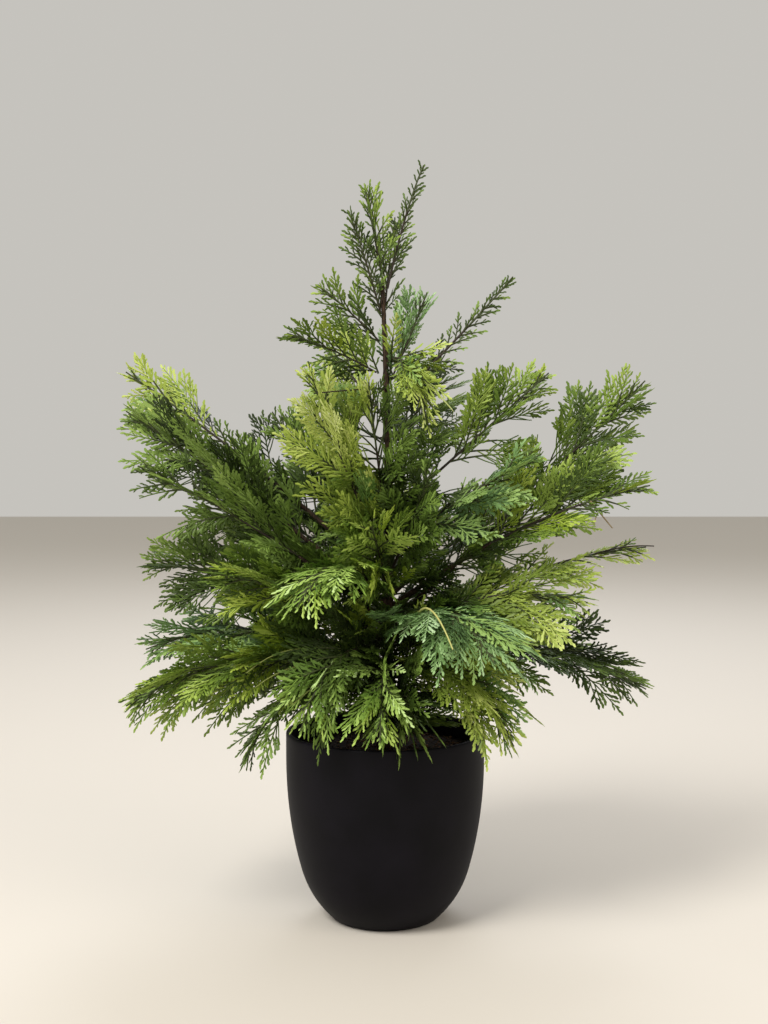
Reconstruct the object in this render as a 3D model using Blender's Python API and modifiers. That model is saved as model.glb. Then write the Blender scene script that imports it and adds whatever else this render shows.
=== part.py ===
"""Potted cypress: a young cypress with flat feathery sprays, standing in a round-bottomed black pot.

The pot is a turned shell filled with potting mix. One trunk rises from the mix to the crest. Each row of
CROWN is one limb: it springs from the trunk, arches out to its tip, and carries side sprays along its leafy
part. A limb with a long bare foot gets a bough of its own, which ends where the foliage begins.

Units are metres, +Z is up. The origin is the centre of the pot's flat underside, -Y is the front.
"""

import math
import random

import bmesh
import bpy
import numpy as np
from mathutils import Matrix, Quaternion, Vector

# The pot
POT_HEIGHT = 0.161
POT_RADIUS = 0.085
POT_WALL = 0.004
POT_FLOOR = 0.006
POT_FOOT_RADIUS = 0.045
POT_SHOULDER = 0.138  # above this height the wall is upright
POT_BELLY = 0.1805  # vertical half axis of the ellipse that the wall follows below the shoulder
POT_TURN = 0.041  # below this height the wall turns in to the foot
POT_TURN_PULL = 0.024  # how far the tangents of that turn reach
POT_OUTER_RINGS = (0.105, 0.073, POT_TURN, 0.024, 0.010)  # heights of the rings that round the outside
POT_INNER_RINGS = 4  # rings of the curved wall inside, and of the mix that fills it
POT_SEGMENTS = 24
SMOOTH_ANGLE = 35  # degrees; a sharper edge between two faces stays crisp
TURN_WELD = 0.00001  # points nearer than this become one where a profile meets its axis
CAP_WELD = 0.000001  # and where a cap meets its tube
HALVINGS = 30  # of the search for the place of a height on the turn to the foot

# The potting mix
MIX_EDGE = 0.144  # height at the pot's wall
MIX_CROWN = 0.147  # height at the trunk
FIT = 0.0003  # gap between pieces that touch

# The trunk
TRUNK_TIP = 0.545
TRUNK_FOOT_RADIUS = 0.0052
TRUNK_TIP_RADIUS = 0.0017
TRUNK_FLARE = 0.0024  # how much wider the root flare is
TRUNK_FLARE_HEIGHT = 0.012
TRUNK_BOW = 0.0045  # to the right, halfway up
TRUNK_LEAN = -0.0025  # of its tip, to the left
TRUNK_POINTS = 8

# Limbs and sprays
BOUGH_RADIUS = 0.0026
BOUGH_TIP_RADIUS = 0.0016
STEM_RADIUS = 0.0017
STEM_TIP_RADIUS = 0.0010
STEM_REACH = 0.80  # share of the limb that the stem covers; the end spray covers the rest
LIMB_STEPS = 6
STEP_MARGIN = 0.02  # share of the limb that its own points keep from the ends of a run
LEAST_LEVEL = 0.05  # below this a limb is upright, and its sprays turn from the right instead
LEAST_BARE = 0.12  # no side spray grows nearer to the trunk than this share of the limb
LIMB_MARGIN = 0.03  # share of the limb without side sprays at either end of its leafy stem
END_SUNK = 0.0025  # how far the root of the end spray is sunk in the stem's end
SPRAY_PITCH = 0.028  # between side sprays, along the limb
FEWEST_SPRAYS = 3
MOST_SPRAYS = 5
INNER_FULLNESS = 0.15  # how far up the swell from short to long the side spray nearest to the trunk is
SHORTEST_SHARE = 0.55  # length of a side spray at the foot of that swell, of the longest
SPRAY_VARIATION = 0.12  # of its length
SPRAY_LONGEST = 0.084  # of any side spray
SPRAY_ANGLE = 42  # degrees between limb and side spray, near the trunk
SPRAY_ANGLE_TIP = 30
SPRAY_WOBBLE = 48  # degrees that a side spray may turn round the limb
SPRAY_WIDTH = 0.44  # of its length, both sides together
SPRAY_THICKNESS = 0.0010
SPRAY_ROOT = 0.0007  # half width where it leaves the stem
SPRAY_DROOP = 0.10  # of its length
SPRAY_NECK = 0.004  # length of the bare neck at its root
SPRAY_TEETH = 4
RIB_SAMPLES = 7  # points on its rib where a spray is tried against its space
TOOTH_FROM = 0.08  # share of the spray where its first tooth leaves the rib
TOOTH_PITCH = 0.20  # between the roots of two teeth, of the spray's length
TOOTH_SWEEP = 1.15  # how far ahead of its root a tooth ends, in pitches
TOOTH_NOTCH = 0.36  # how far out the notches between teeth lie, of the teeth's reach
TOOTH_FIRST = 0.30  # reach of the first tooth, as a place on a half turn of sine
TOOTH_LAST = 0.90  # and of the last
SHORTEST_SPRAY = 0.016
TURNS = (0, 25, -25, 50, -50)  # degrees more round the limb, tried where a spray would leave its space
SHORTENING = (1.0, 0.8, 0.62, 0.46)  # and shares of its length, tried after those
SPACE_GAP = 0.0014  # half the clear space between two masses
SPACE_FROM = 0.08  # share of a limb near the trunk that claims no space
LIMB_GAP = 0.0015
LEAFY_POINTS = 24  # the points that stand for a leafy line, the trunk and a bough when spaces are measured
TRUNK_SAMPLES = 120
BOUGH_SAMPLES = 40

# One row for each limb: name, height where it springs from the trunk, bearing in degrees from +X towards
# the back, reach of the tip from the trunk's foot, height of the tip, arch, half width of the foliage, roll
# of the spray plane in degrees, bare share of the limb, tone. A bare share over BOUGH_FROM gets a bough.
BOUGH_FROM = 0.2
CROWN = (
    ("crest_leader", 0.545, 180, 0.017, 0.624, 0.000, 0.022, 90, 0.0, "green"),
    ("crest_right", 0.522, 17, 0.034, 0.642, 0.020, 0.016, 90, 0.1, "dark"),
    ("crest_left", 0.506, 203, 0.033, 0.600, 0.008, 0.016, 80, 0.1, "dark"),
    ("crest_back", 0.511, 79, 0.045, 0.600, 0.010, 0.027, 60, 0.1, "green"),
    ("upper_left_tip", 0.488, 195, 0.058, 0.539, 0.004, 0.030, 70, 0.1, "green"),
    ("upper_left", 0.462, 197, 0.085, 0.498, 0.006, 0.033, 60, 0.1, "green"),
    ("upper_right_upright", 0.452, 29, 0.041, 0.536, -0.004, 0.030, 80, 0.1, "glaucous"),
    ("upper_right_long", 0.437, 17, 0.116, 0.551, -0.006, 0.025, 75, 0.14, "dark"),
    ("upper_front", 0.472, 311, 0.056, 0.416, 0.055, 0.033, 30, 0.1, "bright"),
    ("upper_back_left", 0.425, 119, 0.108, 0.496, 0.000, 0.047, 20, 0.1, "bright"),
    ("upper_back_right", 0.400, 57, 0.101, 0.470, 0.000, 0.048, -20, 0.1, "green"),
    ("front_left_tall", 0.312, 216, 0.078, 0.474, -0.030, 0.050, 10, 0.1, "bright"),
    ("front_tall", 0.330, 254, 0.052, 0.466, -0.020, 0.040, 0, 0.1, "bright"),
    ("front_inner", 0.292, 304, 0.070, 0.388, 0.000, 0.045, -10, 0.1, "dark"),
    ("front_mid", 0.276, 262, 0.086, 0.346, 0.004, 0.042, 10, 0.1, "green"),
    ("front_low", 0.182, 282, 0.096, 0.182, 0.036, 0.052, 0, 0.1, "dark"),
    ("right_mid", 0.345, 356, 0.138, 0.466, 0.000, 0.045, 60, 0.22, "green"),
    ("right_inner", 0.318, 344, 0.134, 0.398, 0.006, 0.043, 30, 0.12, "glaucous"),
    ("right_high", 0.251, 2, 0.222, 0.460, -0.006, 0.055, 70, 0.44, "green"),
    ("right_end", 0.265, 352, 0.222, 0.372, 0.030, 0.053, 40, 0.40, "green"),
    ("right_thin", 0.230, 4, 0.226, 0.317, 0.036, 0.040, 20, 0.36, "bright"),
    ("right_front", 0.239, 339, 0.176, 0.278, 0.040, 0.050, 20, 0.30, "bright"),
    ("right_low", 0.216, 357, 0.222, 0.198, 0.056, 0.044, 15, 0.34, "dark"),
    ("left_high", 0.288, 169, 0.232, 0.469, 0.014, 0.043, 100, 0.42, "bright"),
    ("left_mid", 0.268, 180, 0.220, 0.434, 0.010, 0.050, 75, 0.40, "dark"),
    ("left_broad", 0.252, 186, 0.208, 0.388, 0.020, 0.044, 50, 0.36, "dark"),
    ("left_upright", 0.300, 160, 0.105, 0.434, -0.010, 0.040, 80, 0.12, "dark"),
    ("left_level", 0.236, 181, 0.203, 0.304, 0.030, 0.048, 40, 0.30, "dark"),
    ("left_front", 0.226, 205, 0.152, 0.300, 0.030, 0.053, 25, 0.14, "green"),
    ("left_low", 0.214, 172, 0.212, 0.226, 0.050, 0.048, 20, 0.30, "glaucous"),
    ("left_long", 0.200, 192, 0.219, 0.190, 0.062, 0.050, 12, 0.30, "green"),
    ("left_rim", 0.186, 208, 0.134, 0.144, 0.090, 0.033, 10, 0.1, "dark"),
    ("front_left_fan", 0.262, 238, 0.130, 0.280, 0.070, 0.040, 0, 0.14, "pale"),
    ("front_left_hang", 0.209, 238, 0.126, 0.182, 0.080, 0.040, 0, 0.12, "pale"),
    ("front_rim", 0.194, 268, 0.118, 0.175, 0.074, 0.036, 0, 0.12, "pale"),
    ("front_fan", 0.229, 304, 0.150, 0.238, 0.074, 0.058, 0, 0.16, "glaucous"),
    ("front_right_rim", 0.203, 319, 0.136, 0.166, 0.078, 0.045, -10, 0.14, "bright"),
    ("back_left_low", 0.205, 138, 0.206, 0.214, 0.054, 0.057, 10, 0.16, "green"),
    ("back_low", 0.222, 94, 0.204, 0.228, 0.054, 0.060, 0, 0.16, "dark"),
    ("back_right_low", 0.205, 44, 0.204, 0.202, 0.058, 0.057, -10, 0.16, "glaucous"),
    ("back_left_mid", 0.278, 138, 0.188, 0.348, 0.020, 0.057, 10, 0.22, "dark"),
    ("back_mid", 0.290, 98, 0.186, 0.360, 0.022, 0.060, 0, 0.16, "bright"),
    ("back_right_mid", 0.275, 47, 0.190, 0.344, 0.020, 0.057, -10, 0.22, "green"),
)

LEAF_TONES = {
    "bright": (0.30, 0.42, 0.05, 1),
    "green": (0.09, 0.22, 0.03, 1),
    "dark": (0.02, 0.07, 0.012, 1),
    "glaucous": (0.05, 0.16, 0.09, 1),
    "pale": (0.28, 0.42, 0.12, 1),
}


def clear_scene():
    for thing in list(bpy.data.objects):
        bpy.data.objects.remove(thing)


def new_collection(name):
    collection = bpy.data.collections.new(name)
    bpy.context.scene.collection.children.link(collection)
    return collection


def make_material(name, colour, roughness, metallic=0.0):
    material = bpy.data.materials.new(name)
    material.use_nodes = True
    shader = material.node_tree.nodes["Principled BSDF"]
    shader.inputs["Base Color"].default_value = colour
    shader.inputs["Roughness"].default_value = roughness
    shader.inputs["Metallic"].default_value = metallic
    return material


def add_object(name, data, collection, material=None):
    thing = bpy.data.objects.new(name, data)
    collection.objects.link(thing)
    if material:
        data.materials.append(material)
    return thing


def finish_round(mesh):
    mesh.shade_smooth()
    mesh.set_sharp_from_angle(angle=math.radians(SMOOTH_ANGLE))


# Turned pieces


def pot_outside(height):
    """Outer radius of the pot at a height: upright, then elliptic, then turning in to the foot."""
    if height >= POT_TURN:
        below = max(0.0, POT_SHOULDER - height)
        return POT_RADIUS * math.sqrt(1 - (below / POT_BELLY) ** 2)
    turn_radius = pot_outside(POT_TURN)
    below = POT_SHOULDER - POT_TURN
    slope = POT_RADIUS**2 * below / (POT_BELLY**2 * turn_radius)
    pull = Vector((turn_radius - slope * POT_TURN_PULL, POT_TURN - POT_TURN_PULL))
    low, high = 0.0, 1.0
    for _ in range(HALVINGS):
        middle = (low + high) / 2
        there = 2 * middle * (1 - middle) * pull.y + middle**2 * POT_TURN
        low, high = (middle, high) if there < height else (low, middle)
    start = (1 - low) ** 2 * POT_FOOT_RADIUS
    return start + 2 * low * (1 - low) * pull.x + low**2 * turn_radius


def spaced(start, end, count):
    return [start + (end - start) * i / (count - 1) for i in range(count)]


def turned(name, profile, collection, material):
    """A solid of revolution. The profile runs up its inner side, over the top and down its outer side."""
    mesh = bpy.data.meshes.new(name)
    edges = [(i, i + 1) for i in range(len(profile) - 1)]
    mesh.from_pydata([(radius, 0, height) for radius, height in profile], edges, [])
    piece = add_object(name, mesh, collection, material)
    screw = piece.modifiers.new("turn", "SCREW")
    screw.steps = POT_SEGMENTS
    screw.render_steps = POT_SEGMENTS
    screw.use_merge_vertices = True
    screw.merge_threshold = TURN_WELD
    solid = mesh_of(piece, collection)
    finish_round(solid.data)


def make_pot(collection, material):
    round_over = POT_WALL / 2
    inner_heights = spaced(2 * POT_FLOOR, POT_SHOULDER, POT_INNER_RINGS)
    profile = [(0, POT_FLOOR), (pot_outside(POT_FLOOR) - 2 * POT_WALL, POT_FLOOR)]
    profile += [(pot_outside(height) - POT_WALL, height) for height in inner_heights]
    profile.append((POT_RADIUS - POT_WALL, POT_HEIGHT - round_over / 2))
    profile.append((POT_RADIUS - round_over, POT_HEIGHT))
    profile.append((POT_RADIUS, POT_HEIGHT - round_over / 2))
    profile.append((POT_RADIUS, POT_SHOULDER))
    profile += [(pot_outside(height), height) for height in POT_OUTER_RINGS]
    profile += [(POT_FOOT_RADIUS, 0), (0, 0)]
    turned("pot", profile, collection, material)


def make_mix(collection, material):
    """The potting mix fills the pot, a fit clear of its wall all over."""
    inner_heights = spaced(2 * POT_FLOOR, POT_SHOULDER, POT_INNER_RINGS)
    floor = POT_FLOOR + FIT
    sides = [(pot_outside(height) - POT_WALL - FIT, height) for height in inner_heights]
    top_radius = POT_RADIUS - POT_WALL - FIT
    profile = [(0, MIX_CROWN), (top_radius * 0.5, (MIX_CROWN + MIX_EDGE) / 2), (top_radius, MIX_EDGE)]
    profile += sides[::-1]
    profile += [(pot_outside(POT_FLOOR) - 2 * POT_WALL - FIT, floor), (0, floor)]
    turned("potting_mix", profile, collection, material)


# Limbs


def tube(name, points, radii, collection, resolution):
    """A tapering limb along a line of points, as a closed mesh. It has 4 + 2 * resolution sides."""
    curve = bpy.data.curves.new(name, "CURVE")
    curve.dimensions = "3D"
    curve.bevel_depth = 1.0
    curve.bevel_resolution = resolution
    curve.use_fill_caps = True
    spline = curve.splines.new("POLY")
    spline.points.add(len(points) - 1)
    for point, place, radius in zip(spline.points, points, radii):
        point.co = (*place, 1)
        point.radius = radius
    return mesh_of(add_object(name, curve, collection), collection)


def mesh_of(shape, collection):
    """Turns a curve or a modified object into a mesh object of its name, with its loose caps welded."""
    bpy.context.view_layer.update()
    graph = bpy.context.evaluated_depsgraph_get()
    mesh = bpy.data.meshes.new_from_object(shape.evaluated_get(graph))
    name, place = shape.name, shape.matrix_world.copy()
    bpy.data.objects.remove(shape)
    weld = bmesh.new()
    weld.from_mesh(mesh)
    bmesh.ops.remove_doubles(weld, verts=weld.verts, dist=CAP_WELD)
    bmesh.ops.recalc_face_normals(weld, faces=weld.faces)
    weld.to_mesh(mesh)
    weld.free()
    mesh.transform(place)
    mesh.name = name
    return add_object(name, mesh, collection)


def trunk_place(height):
    share = (height - MIX_CROWN) / (TRUNK_TIP - MIX_CROWN)
    return Vector((TRUNK_BOW * math.sin(math.pi * share) + TRUNK_LEAN * share, 0, height))


def trunk_radius(height):
    share = (height - MIX_CROWN) / (TRUNK_TIP - MIX_CROWN)
    taper = TRUNK_FOOT_RADIUS + (TRUNK_TIP_RADIUS - TRUNK_FOOT_RADIUS) * share
    return taper + TRUNK_FLARE * math.exp((MIX_CROWN - height) / TRUNK_FLARE_HEIGHT)


def trunk_tube(name, collection, more):
    foot = MIX_CROWN + FIT
    heights = [foot, foot + TRUNK_FLARE_HEIGHT / 2]
    heights += spaced(foot + 2 * TRUNK_FLARE_HEIGHT, TRUNK_TIP, TRUNK_POINTS - 2)
    radii = [trunk_radius(height) + more for height in heights]
    return tube(name, [trunk_place(height) for height in heights], radii, collection, 2)


def frame_of(root, direction, normal):
    across = normal.cross(direction).normalized()
    frame = Matrix((direction, across, direction.cross(across))).transposed().to_4x4()
    frame.translation = root
    return frame


class Limb:
    """One row of the crown: its line from the trunk to its tip, and the frame of its sprays."""

    def __init__(self, number, row):
        name, spring, bearing, reach, height, arch, half_width, roll, bare, tone = row
        self.name, self.tone, self.bare = name, tone, bare
        self.half_width, self.roll = half_width, math.radians(roll)
        self.random = random.Random(number)
        turn = math.radians(bearing)
        self.start = trunk_place(spring)
        self.end = Vector((reach * math.cos(turn), reach * math.sin(turn), height))
        pull = (self.start + self.end) / 2 + Vector((0, 0, arch))
        self.line = [
            (1 - share) ** 2 * self.start + 2 * (1 - share) * share * pull + share**2 * self.end
            for share in spaced(0, 1, LIMB_STEPS + 1)
        ]
        self.length = sum((b - a).length for a, b in zip(self.line, self.line[1:]))

    def at(self, share):
        step = min(int(share * LIMB_STEPS), LIMB_STEPS - 1)
        return self.line[step].lerp(self.line[step + 1], share * LIMB_STEPS - step)

    def along(self, share):
        """Direction of growth, read across a whole step so that it turns evenly."""
        first = min(max(share - 0.5 / LIMB_STEPS, 0), 1 - 1 / LIMB_STEPS)
        return (self.at(first + 1 / LIMB_STEPS) - self.at(first)).normalized()

    def run(self, first, last):
        """The shares of the limb's own points between two shares, with the two shares themselves."""
        steps = [i / LIMB_STEPS for i in range(LIMB_STEPS + 1)]
        inner = [share for share in steps if first + STEP_MARGIN < share < last - STEP_MARGIN]
        return [first] + inner + [last]

    def sideways(self, share):
        """Across the limb in the plane of its sprays, level where the roll is 0."""
        along = self.along(share)
        level = along.cross(Vector((0, 0, 1)))
        if level.length < LEAST_LEVEL:
            level = Vector((1, 0, 0))
        return Quaternion(along, self.roll) @ level.normalized()

    def points(self, first, last, count):
        return [self.at(share) for share in spaced(first, last, count)]

    def sprays(self):
        """Share of the limb, turn round it, angle to it and length of each side spray, trunk to tip."""
        leafy = max(self.bare, LEAST_BARE)
        count = round(self.length * (1 - leafy) / SPRAY_PITCH)
        count = min(MOST_SPRAYS, max(FEWEST_SPRAYS, count))
        side = 0 if self.random.random() < 0.5 else math.pi
        for i in range(count):
            part = (i + 0.5) / count
            share = leafy + LIMB_MARGIN + (STEM_REACH - leafy - 2 * LIMB_MARGIN) * part
            turn = side + i * math.pi + math.radians(SPRAY_WOBBLE) * self.random.uniform(-1, 1)
            angle = math.radians(SPRAY_ANGLE + (SPRAY_ANGLE_TIP - SPRAY_ANGLE) * part)
            swell = math.sin(math.pi * (INNER_FULLNESS + (1 - INNER_FULLNESS) * part))
            fullness = SHORTEST_SHARE + (1 - SHORTEST_SHARE) * swell
            fullness *= 1 + SPRAY_VARIATION * self.random.uniform(-1, 1)
            length = min(SPRAY_LONGEST, self.half_width / math.sin(angle) * fullness)
            yield share, turn, angle, length

    def side_frame(self, share, turn, angle):
        """Frame of a side spray: X runs out along it, Z is its face, and its root is on the limb."""
        along = self.along(share)
        across = Quaternion(along, turn) @ self.sideways(share)
        direction = along * math.cos(angle) + across * math.sin(angle)
        return frame_of(self.at(share), direction, along.cross(across))

    def end_frame(self):
        start = self.at(STEM_REACH - END_SUNK / self.length)
        direction = (self.end - start).normalized()
        return frame_of(start, direction, direction.cross(self.sideways(STEM_REACH)))


class Space:
    """Tells whether points keep to the space of one limb, clear of the others, the wood and the pot."""

    def __init__(self, limbs):
        self.widths = np.array([limb.half_width for limb in limbs])
        self.lines = np.array([limb.points(max(SPACE_FROM, limb.bare), 1, LEAFY_POINTS) for limb in limbs])
        heights = spaced(MIX_CROWN, TRUNK_TIP, TRUNK_SAMPLES)
        wood = [trunk_place(height) for height in heights]
        radii = [trunk_radius(height) for height in heights]
        for limb in limbs:
            if limb.bare > BOUGH_FROM:
                wood += limb.points(0, limb.bare, BOUGH_SAMPLES)
                radii += spaced(BOUGH_RADIUS, BOUGH_TIP_RADIUS, BOUGH_SAMPLES)
        self.wood = np.array(wood)
        self.wood_radii = np.array(radii)

    def distances(self, points):
        """From each point to each limb's leafy line."""
        starts = self.lines[:, :-1]
        steps = self.lines[:, 1:] - starts
        reach = points[:, None, None] - starts
        share = np.clip((reach * steps).sum(-1) / (steps**2).sum(-1), 0, 1)
        return np.linalg.norm(reach - share[..., None] * steps, axis=-1).min(-1)

    def holds(self, number, points, root):
        points = np.array(points)
        distance = self.distances(points)
        own, width = distance[:, number, None], self.widths[number]
        margin = (distance * width - own * self.widths) / (self.widths + width)
        margin[:, number] = 1
        beyond = np.linalg.norm(points - np.array(root), axis=1) > 3 * STEM_RADIUS
        if (margin[beyond] < SPACE_GAP).any():
            return False
        apart = np.linalg.norm(points[beyond, None] - self.wood, axis=-1) - self.wood_radii
        if (apart < LIMB_GAP + SPRAY_THICKNESS).any():
            return False
        out = np.hypot(points[:, 0], points[:, 1]) > POT_RADIUS + 2 * LIMB_GAP
        over = points[:, 2] > POT_HEIGHT + 2 * LIMB_GAP
        return bool((out | over).all())


# Sprays


def spray_outline(length):
    """The feathered outline of one flat spray: teeth by turns on either side, swept towards the tip."""
    sides = {side: [(0, side * SPRAY_ROOT), (SPRAY_NECK, side * SPRAY_ROOT)] for side in (1, -1)}
    for i in range(SPRAY_TEETH):
        side = 1 if i % 2 else -1
        root = TOOTH_FROM + TOOTH_PITCH * i
        swell = math.sin(math.pi * (TOOTH_FIRST + (TOOTH_LAST - TOOTH_FIRST) * i / (SPRAY_TEETH - 1)))
        reach = SPRAY_WIDTH / 2 * length * swell
        if i > 1:
            sides[side].append((root * length, side * reach * TOOTH_NOTCH))
        sides[side].append(((root + TOOTH_SWEEP * TOOTH_PITCH) * length, side * reach))
    return sides[-1] + [(length, 0)] + sides[1][::-1]


def droop(place, drop):
    """A spray hangs a little towards its tip, whichever way it faces."""
    return place - Vector((0, 0, drop))


def spray_samples(frame, length):
    """Points all over the drooping spray: its outline, the middles of its edges, and its rib."""
    ring = [Vector((x, y, 0)) for x, y in spray_outline(length)]
    middles = [(a + b) / 2 for a, b in zip(ring, ring[1:] + ring[:1])]
    rib = [Vector((length * share, 0, 0)) for share in spaced(0.1, 0.9, RIB_SAMPLES)]
    return [droop(frame @ point, SPRAY_DROOP * point.x**2 / length) for point in ring + middles + rib]


def make_spray(name, frame, length, hang, collection):
    outline = spray_outline(length)
    curve = bpy.data.curves.new(name, "CURVE")
    curve.dimensions = "2D"
    curve.fill_mode = "BOTH"
    curve.extrude = SPRAY_THICKNESS / 2
    spline = curve.splines.new("POLY")
    spline.points.add(len(outline) - 1)
    for point, (x, y) in zip(spline.points, outline):
        point.co = (x, y, 0, 1)
    spline.use_cyclic_u = True
    spray = mesh_of(add_object(name, curve, collection), collection)
    for vertex in spray.data.vertices:
        vertex.co = droop(frame @ vertex.co, hang * vertex.co.x**2 / length)


def fitted_spray(space, number, limb, share, turn, angle, full_length):
    """Frame and length of a side spray that keeps to its space, turned first, then shortened, or None."""
    for shortening in SHORTENING:
        length = full_length * shortening
        if length < SHORTEST_SPRAY:
            break
        for more in TURNS:
            frame = limb.side_frame(share, turn + math.radians(more), angle)
            if space.holds(number, spray_samples(frame, length), frame.translation):
                return frame, length
    return None


def grow_foliage(number, limb, space, collection, cutter, material):
    """One mass: the limb's leafy stem, with every side spray that keeps to the limb's space fused on."""
    foot = 0.0
    if limb.bare > BOUGH_FROM:
        foot = limb.bare + FIT / limb.length
    elif limb.start.z >= TRUNK_TIP:
        foot = FIT / limb.length
    shares = limb.run(foot, STEM_REACH)
    radii = spaced(STEM_RADIUS, STEM_TIP_RADIUS, len(shares))
    stem = tube("foliage_" + limb.name, [limb.at(share) for share in shares], radii, collection, 0)
    bunch = bpy.data.collections.new("sprays_" + limb.name)
    bpy.context.scene.collection.children.link(bunch)
    fitted = [fitted_spray(space, number, limb, *spray) for spray in limb.sprays()]
    for frame, length in filter(None, fitted):
        make_spray("side_spray", frame, length, SPRAY_DROOP, bunch)
    end_frame = limb.end_frame()
    make_spray("end_spray", end_frame, (limb.end - end_frame.translation).length, 0, bunch)
    union = stem.modifiers.new("sprays", "BOOLEAN")
    union.operation = "UNION"
    union.operand_type = "COLLECTION"
    union.collection = bunch
    union.solver = "MANIFOLD"  # the exact solver leaves slits where a root meets an edge of the stem
    if foot == 0:
        cut = stem.modifiers.new("trunk", "BOOLEAN")
        cut.operation = "DIFFERENCE"
        cut.object = cutter
        cut.solver = "MANIFOLD"
    bpy.context.view_layer.update()
    whole = bpy.data.meshes.new_from_object(stem.evaluated_get(bpy.context.evaluated_depsgraph_get()))
    stem.modifiers.clear()
    stem.data = whole
    whole.materials.clear()
    whole.materials.append(material)
    for spray in list(bunch.objects):
        bpy.data.objects.remove(spray)
    bpy.data.collections.remove(bunch)


def make_bough(limb, collection, cutter, material):
    """The bare foot of a long limb, cut to the trunk's side."""
    shares = limb.run(0, limb.bare)
    radii = spaced(BOUGH_RADIUS, BOUGH_TIP_RADIUS, len(shares))
    bough = tube("bough_" + limb.name, [limb.at(share) for share in shares], radii, collection, 1)
    cut = bough.modifiers.new("trunk", "BOOLEAN")
    cut.operation = "DIFFERENCE"
    cut.object = cutter
    bough.data.materials.append(material)
    finish_round(bough.data)


def build():
    clear_scene()
    plant = new_collection("potted_cypress")
    cutters = new_collection("cutters")
    bark = make_material("bark", (0.11, 0.06, 0.035, 1), 0.85)
    make_pot(plant, make_material("matte_black_glaze", (0.012, 0.011, 0.013, 1), 0.6))
    make_mix(plant, make_material("potting_mix", (0.03, 0.02, 0.014, 1), 0.95))
    trunk = trunk_tube("trunk", plant, 0)
    trunk.data.materials.append(bark)
    finish_round(trunk.data)
    cutter = trunk_tube("trunk_clearance", cutters, FIT)
    cutter.hide_render = True
    cutter.display_type = "WIRE"
    limbs = [Limb(number, row) for number, row in enumerate(CROWN)]
    space = Space(limbs)
    tones = {name: make_material("leaf_" + name, colour, 0.6) for name, colour in LEAF_TONES.items()}
    for number, limb in enumerate(limbs):
        if limb.bare > BOUGH_FROM:
            make_bough(limb, plant, cutter, bark)
        grow_foliage(number, limb, space, plant, cutter, tones[limb.tone])


build()
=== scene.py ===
import math
import random

import bmesh
import bpy
import numpy as np
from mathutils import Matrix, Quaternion, Vector, noise
from mathutils.kdtree import KDTree


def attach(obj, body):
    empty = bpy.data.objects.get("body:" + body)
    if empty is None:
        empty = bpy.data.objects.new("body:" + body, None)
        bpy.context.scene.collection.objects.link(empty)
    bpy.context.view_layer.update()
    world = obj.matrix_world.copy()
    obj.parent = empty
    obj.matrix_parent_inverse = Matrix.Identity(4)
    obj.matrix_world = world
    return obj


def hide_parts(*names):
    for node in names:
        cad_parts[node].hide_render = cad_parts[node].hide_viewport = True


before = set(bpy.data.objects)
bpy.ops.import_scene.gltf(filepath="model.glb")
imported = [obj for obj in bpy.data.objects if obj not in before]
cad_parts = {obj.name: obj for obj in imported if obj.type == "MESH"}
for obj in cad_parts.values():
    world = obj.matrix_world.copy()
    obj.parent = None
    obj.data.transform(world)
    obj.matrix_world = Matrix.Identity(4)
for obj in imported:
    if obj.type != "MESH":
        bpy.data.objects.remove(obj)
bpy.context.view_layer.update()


# The pot is a round-bottomed planter of turned and fired clay. Its wall is upright at the rim, draws in
# evenly below and turns in to a narrow flat foot, and it wears a matte black glaze. It is one turned shell.
POT_HEIGHT = 0.161
POT_RADIUS = 0.085
POT_WALL = 0.004
POT_FLOOR = 0.006
POT_FOOT_RADIUS = 0.045
POT_SHOULDER = 0.138  # the wall is upright above it and an ellipse below
POT_BELLY = 0.1805  # half height of that ellipse
POT_TURN = 0.041  # the wall turns in to the foot below it
POT_TURN_PULL = 0.024
POT_LIP = 0.006  # the upright part at the rim, down from the top
POT_STEPS = 128
FOOT_EDGE = 0.0016  # height at which the foot's rounded edge begins
FOOT_ROUND = ((0.0002, 0.0006), (-0.0012, 0))  # added to the foot's radius, and the height
HALVINGS = 30  # to find a height on that turn
MERGED = 0.00001  # points closer than this are one


def pot_outside(height):
    """Outer radius of the pot at a height: upright, then elliptic, then turning in to the foot."""
    if height >= POT_TURN:
        below = max(0.0, POT_SHOULDER - height)
        return POT_RADIUS * math.sqrt(1 - (below / POT_BELLY) ** 2)
    turn_radius = pot_outside(POT_TURN)
    slope = POT_RADIUS**2 * (POT_SHOULDER - POT_TURN) / (POT_BELLY**2 * turn_radius)
    pull = Vector((turn_radius - slope * POT_TURN_PULL, POT_TURN - POT_TURN_PULL))
    low, high = 0.0, 1.0
    for _ in range(HALVINGS):
        middle = (low + high) / 2
        there = 2 * middle * (1 - middle) * pull.y + middle**2 * POT_TURN
        low, high = (middle, high) if there < height else (low, middle)
    start = (1 - low) ** 2 * POT_FOOT_RADIUS
    return start + 2 * low * (1 - low) * pull.x + low**2 * turn_radius


def spaced(start, end, count):
    return [start + (end - start) * i / (count - 1) for i in range(count)]


def linear(colour):
    """The linear colour of an sRGB hex value."""
    parts = [int(colour[i : i + 2], 16) / 255 for i in (1, 3, 5)]
    return [p / 12.92 if p <= 0.04045 else ((p + 0.055) / 1.055) ** 2.4 for p in parts] + [1]


def new_material(name, settings):
    material = bpy.data.materials.new(name)
    material.use_nodes = True
    shader = material.node_tree.nodes["Principled BSDF"]
    for socket, value in settings.items():
        shader.inputs[socket].default_value = value
    return material, shader


def add_node(tree, kind, settings, links):
    """Adds a node. Settings are its properties or its sockets' values, links the sources of its sockets."""
    node = tree.nodes.new(kind)
    for name, value in settings.items():
        if hasattr(node, name):
            setattr(node, name, value)
        else:
            node.inputs[name].default_value = value
    for name, source in links.items():
        tree.links.new(source, node.inputs[name])
    return node


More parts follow.
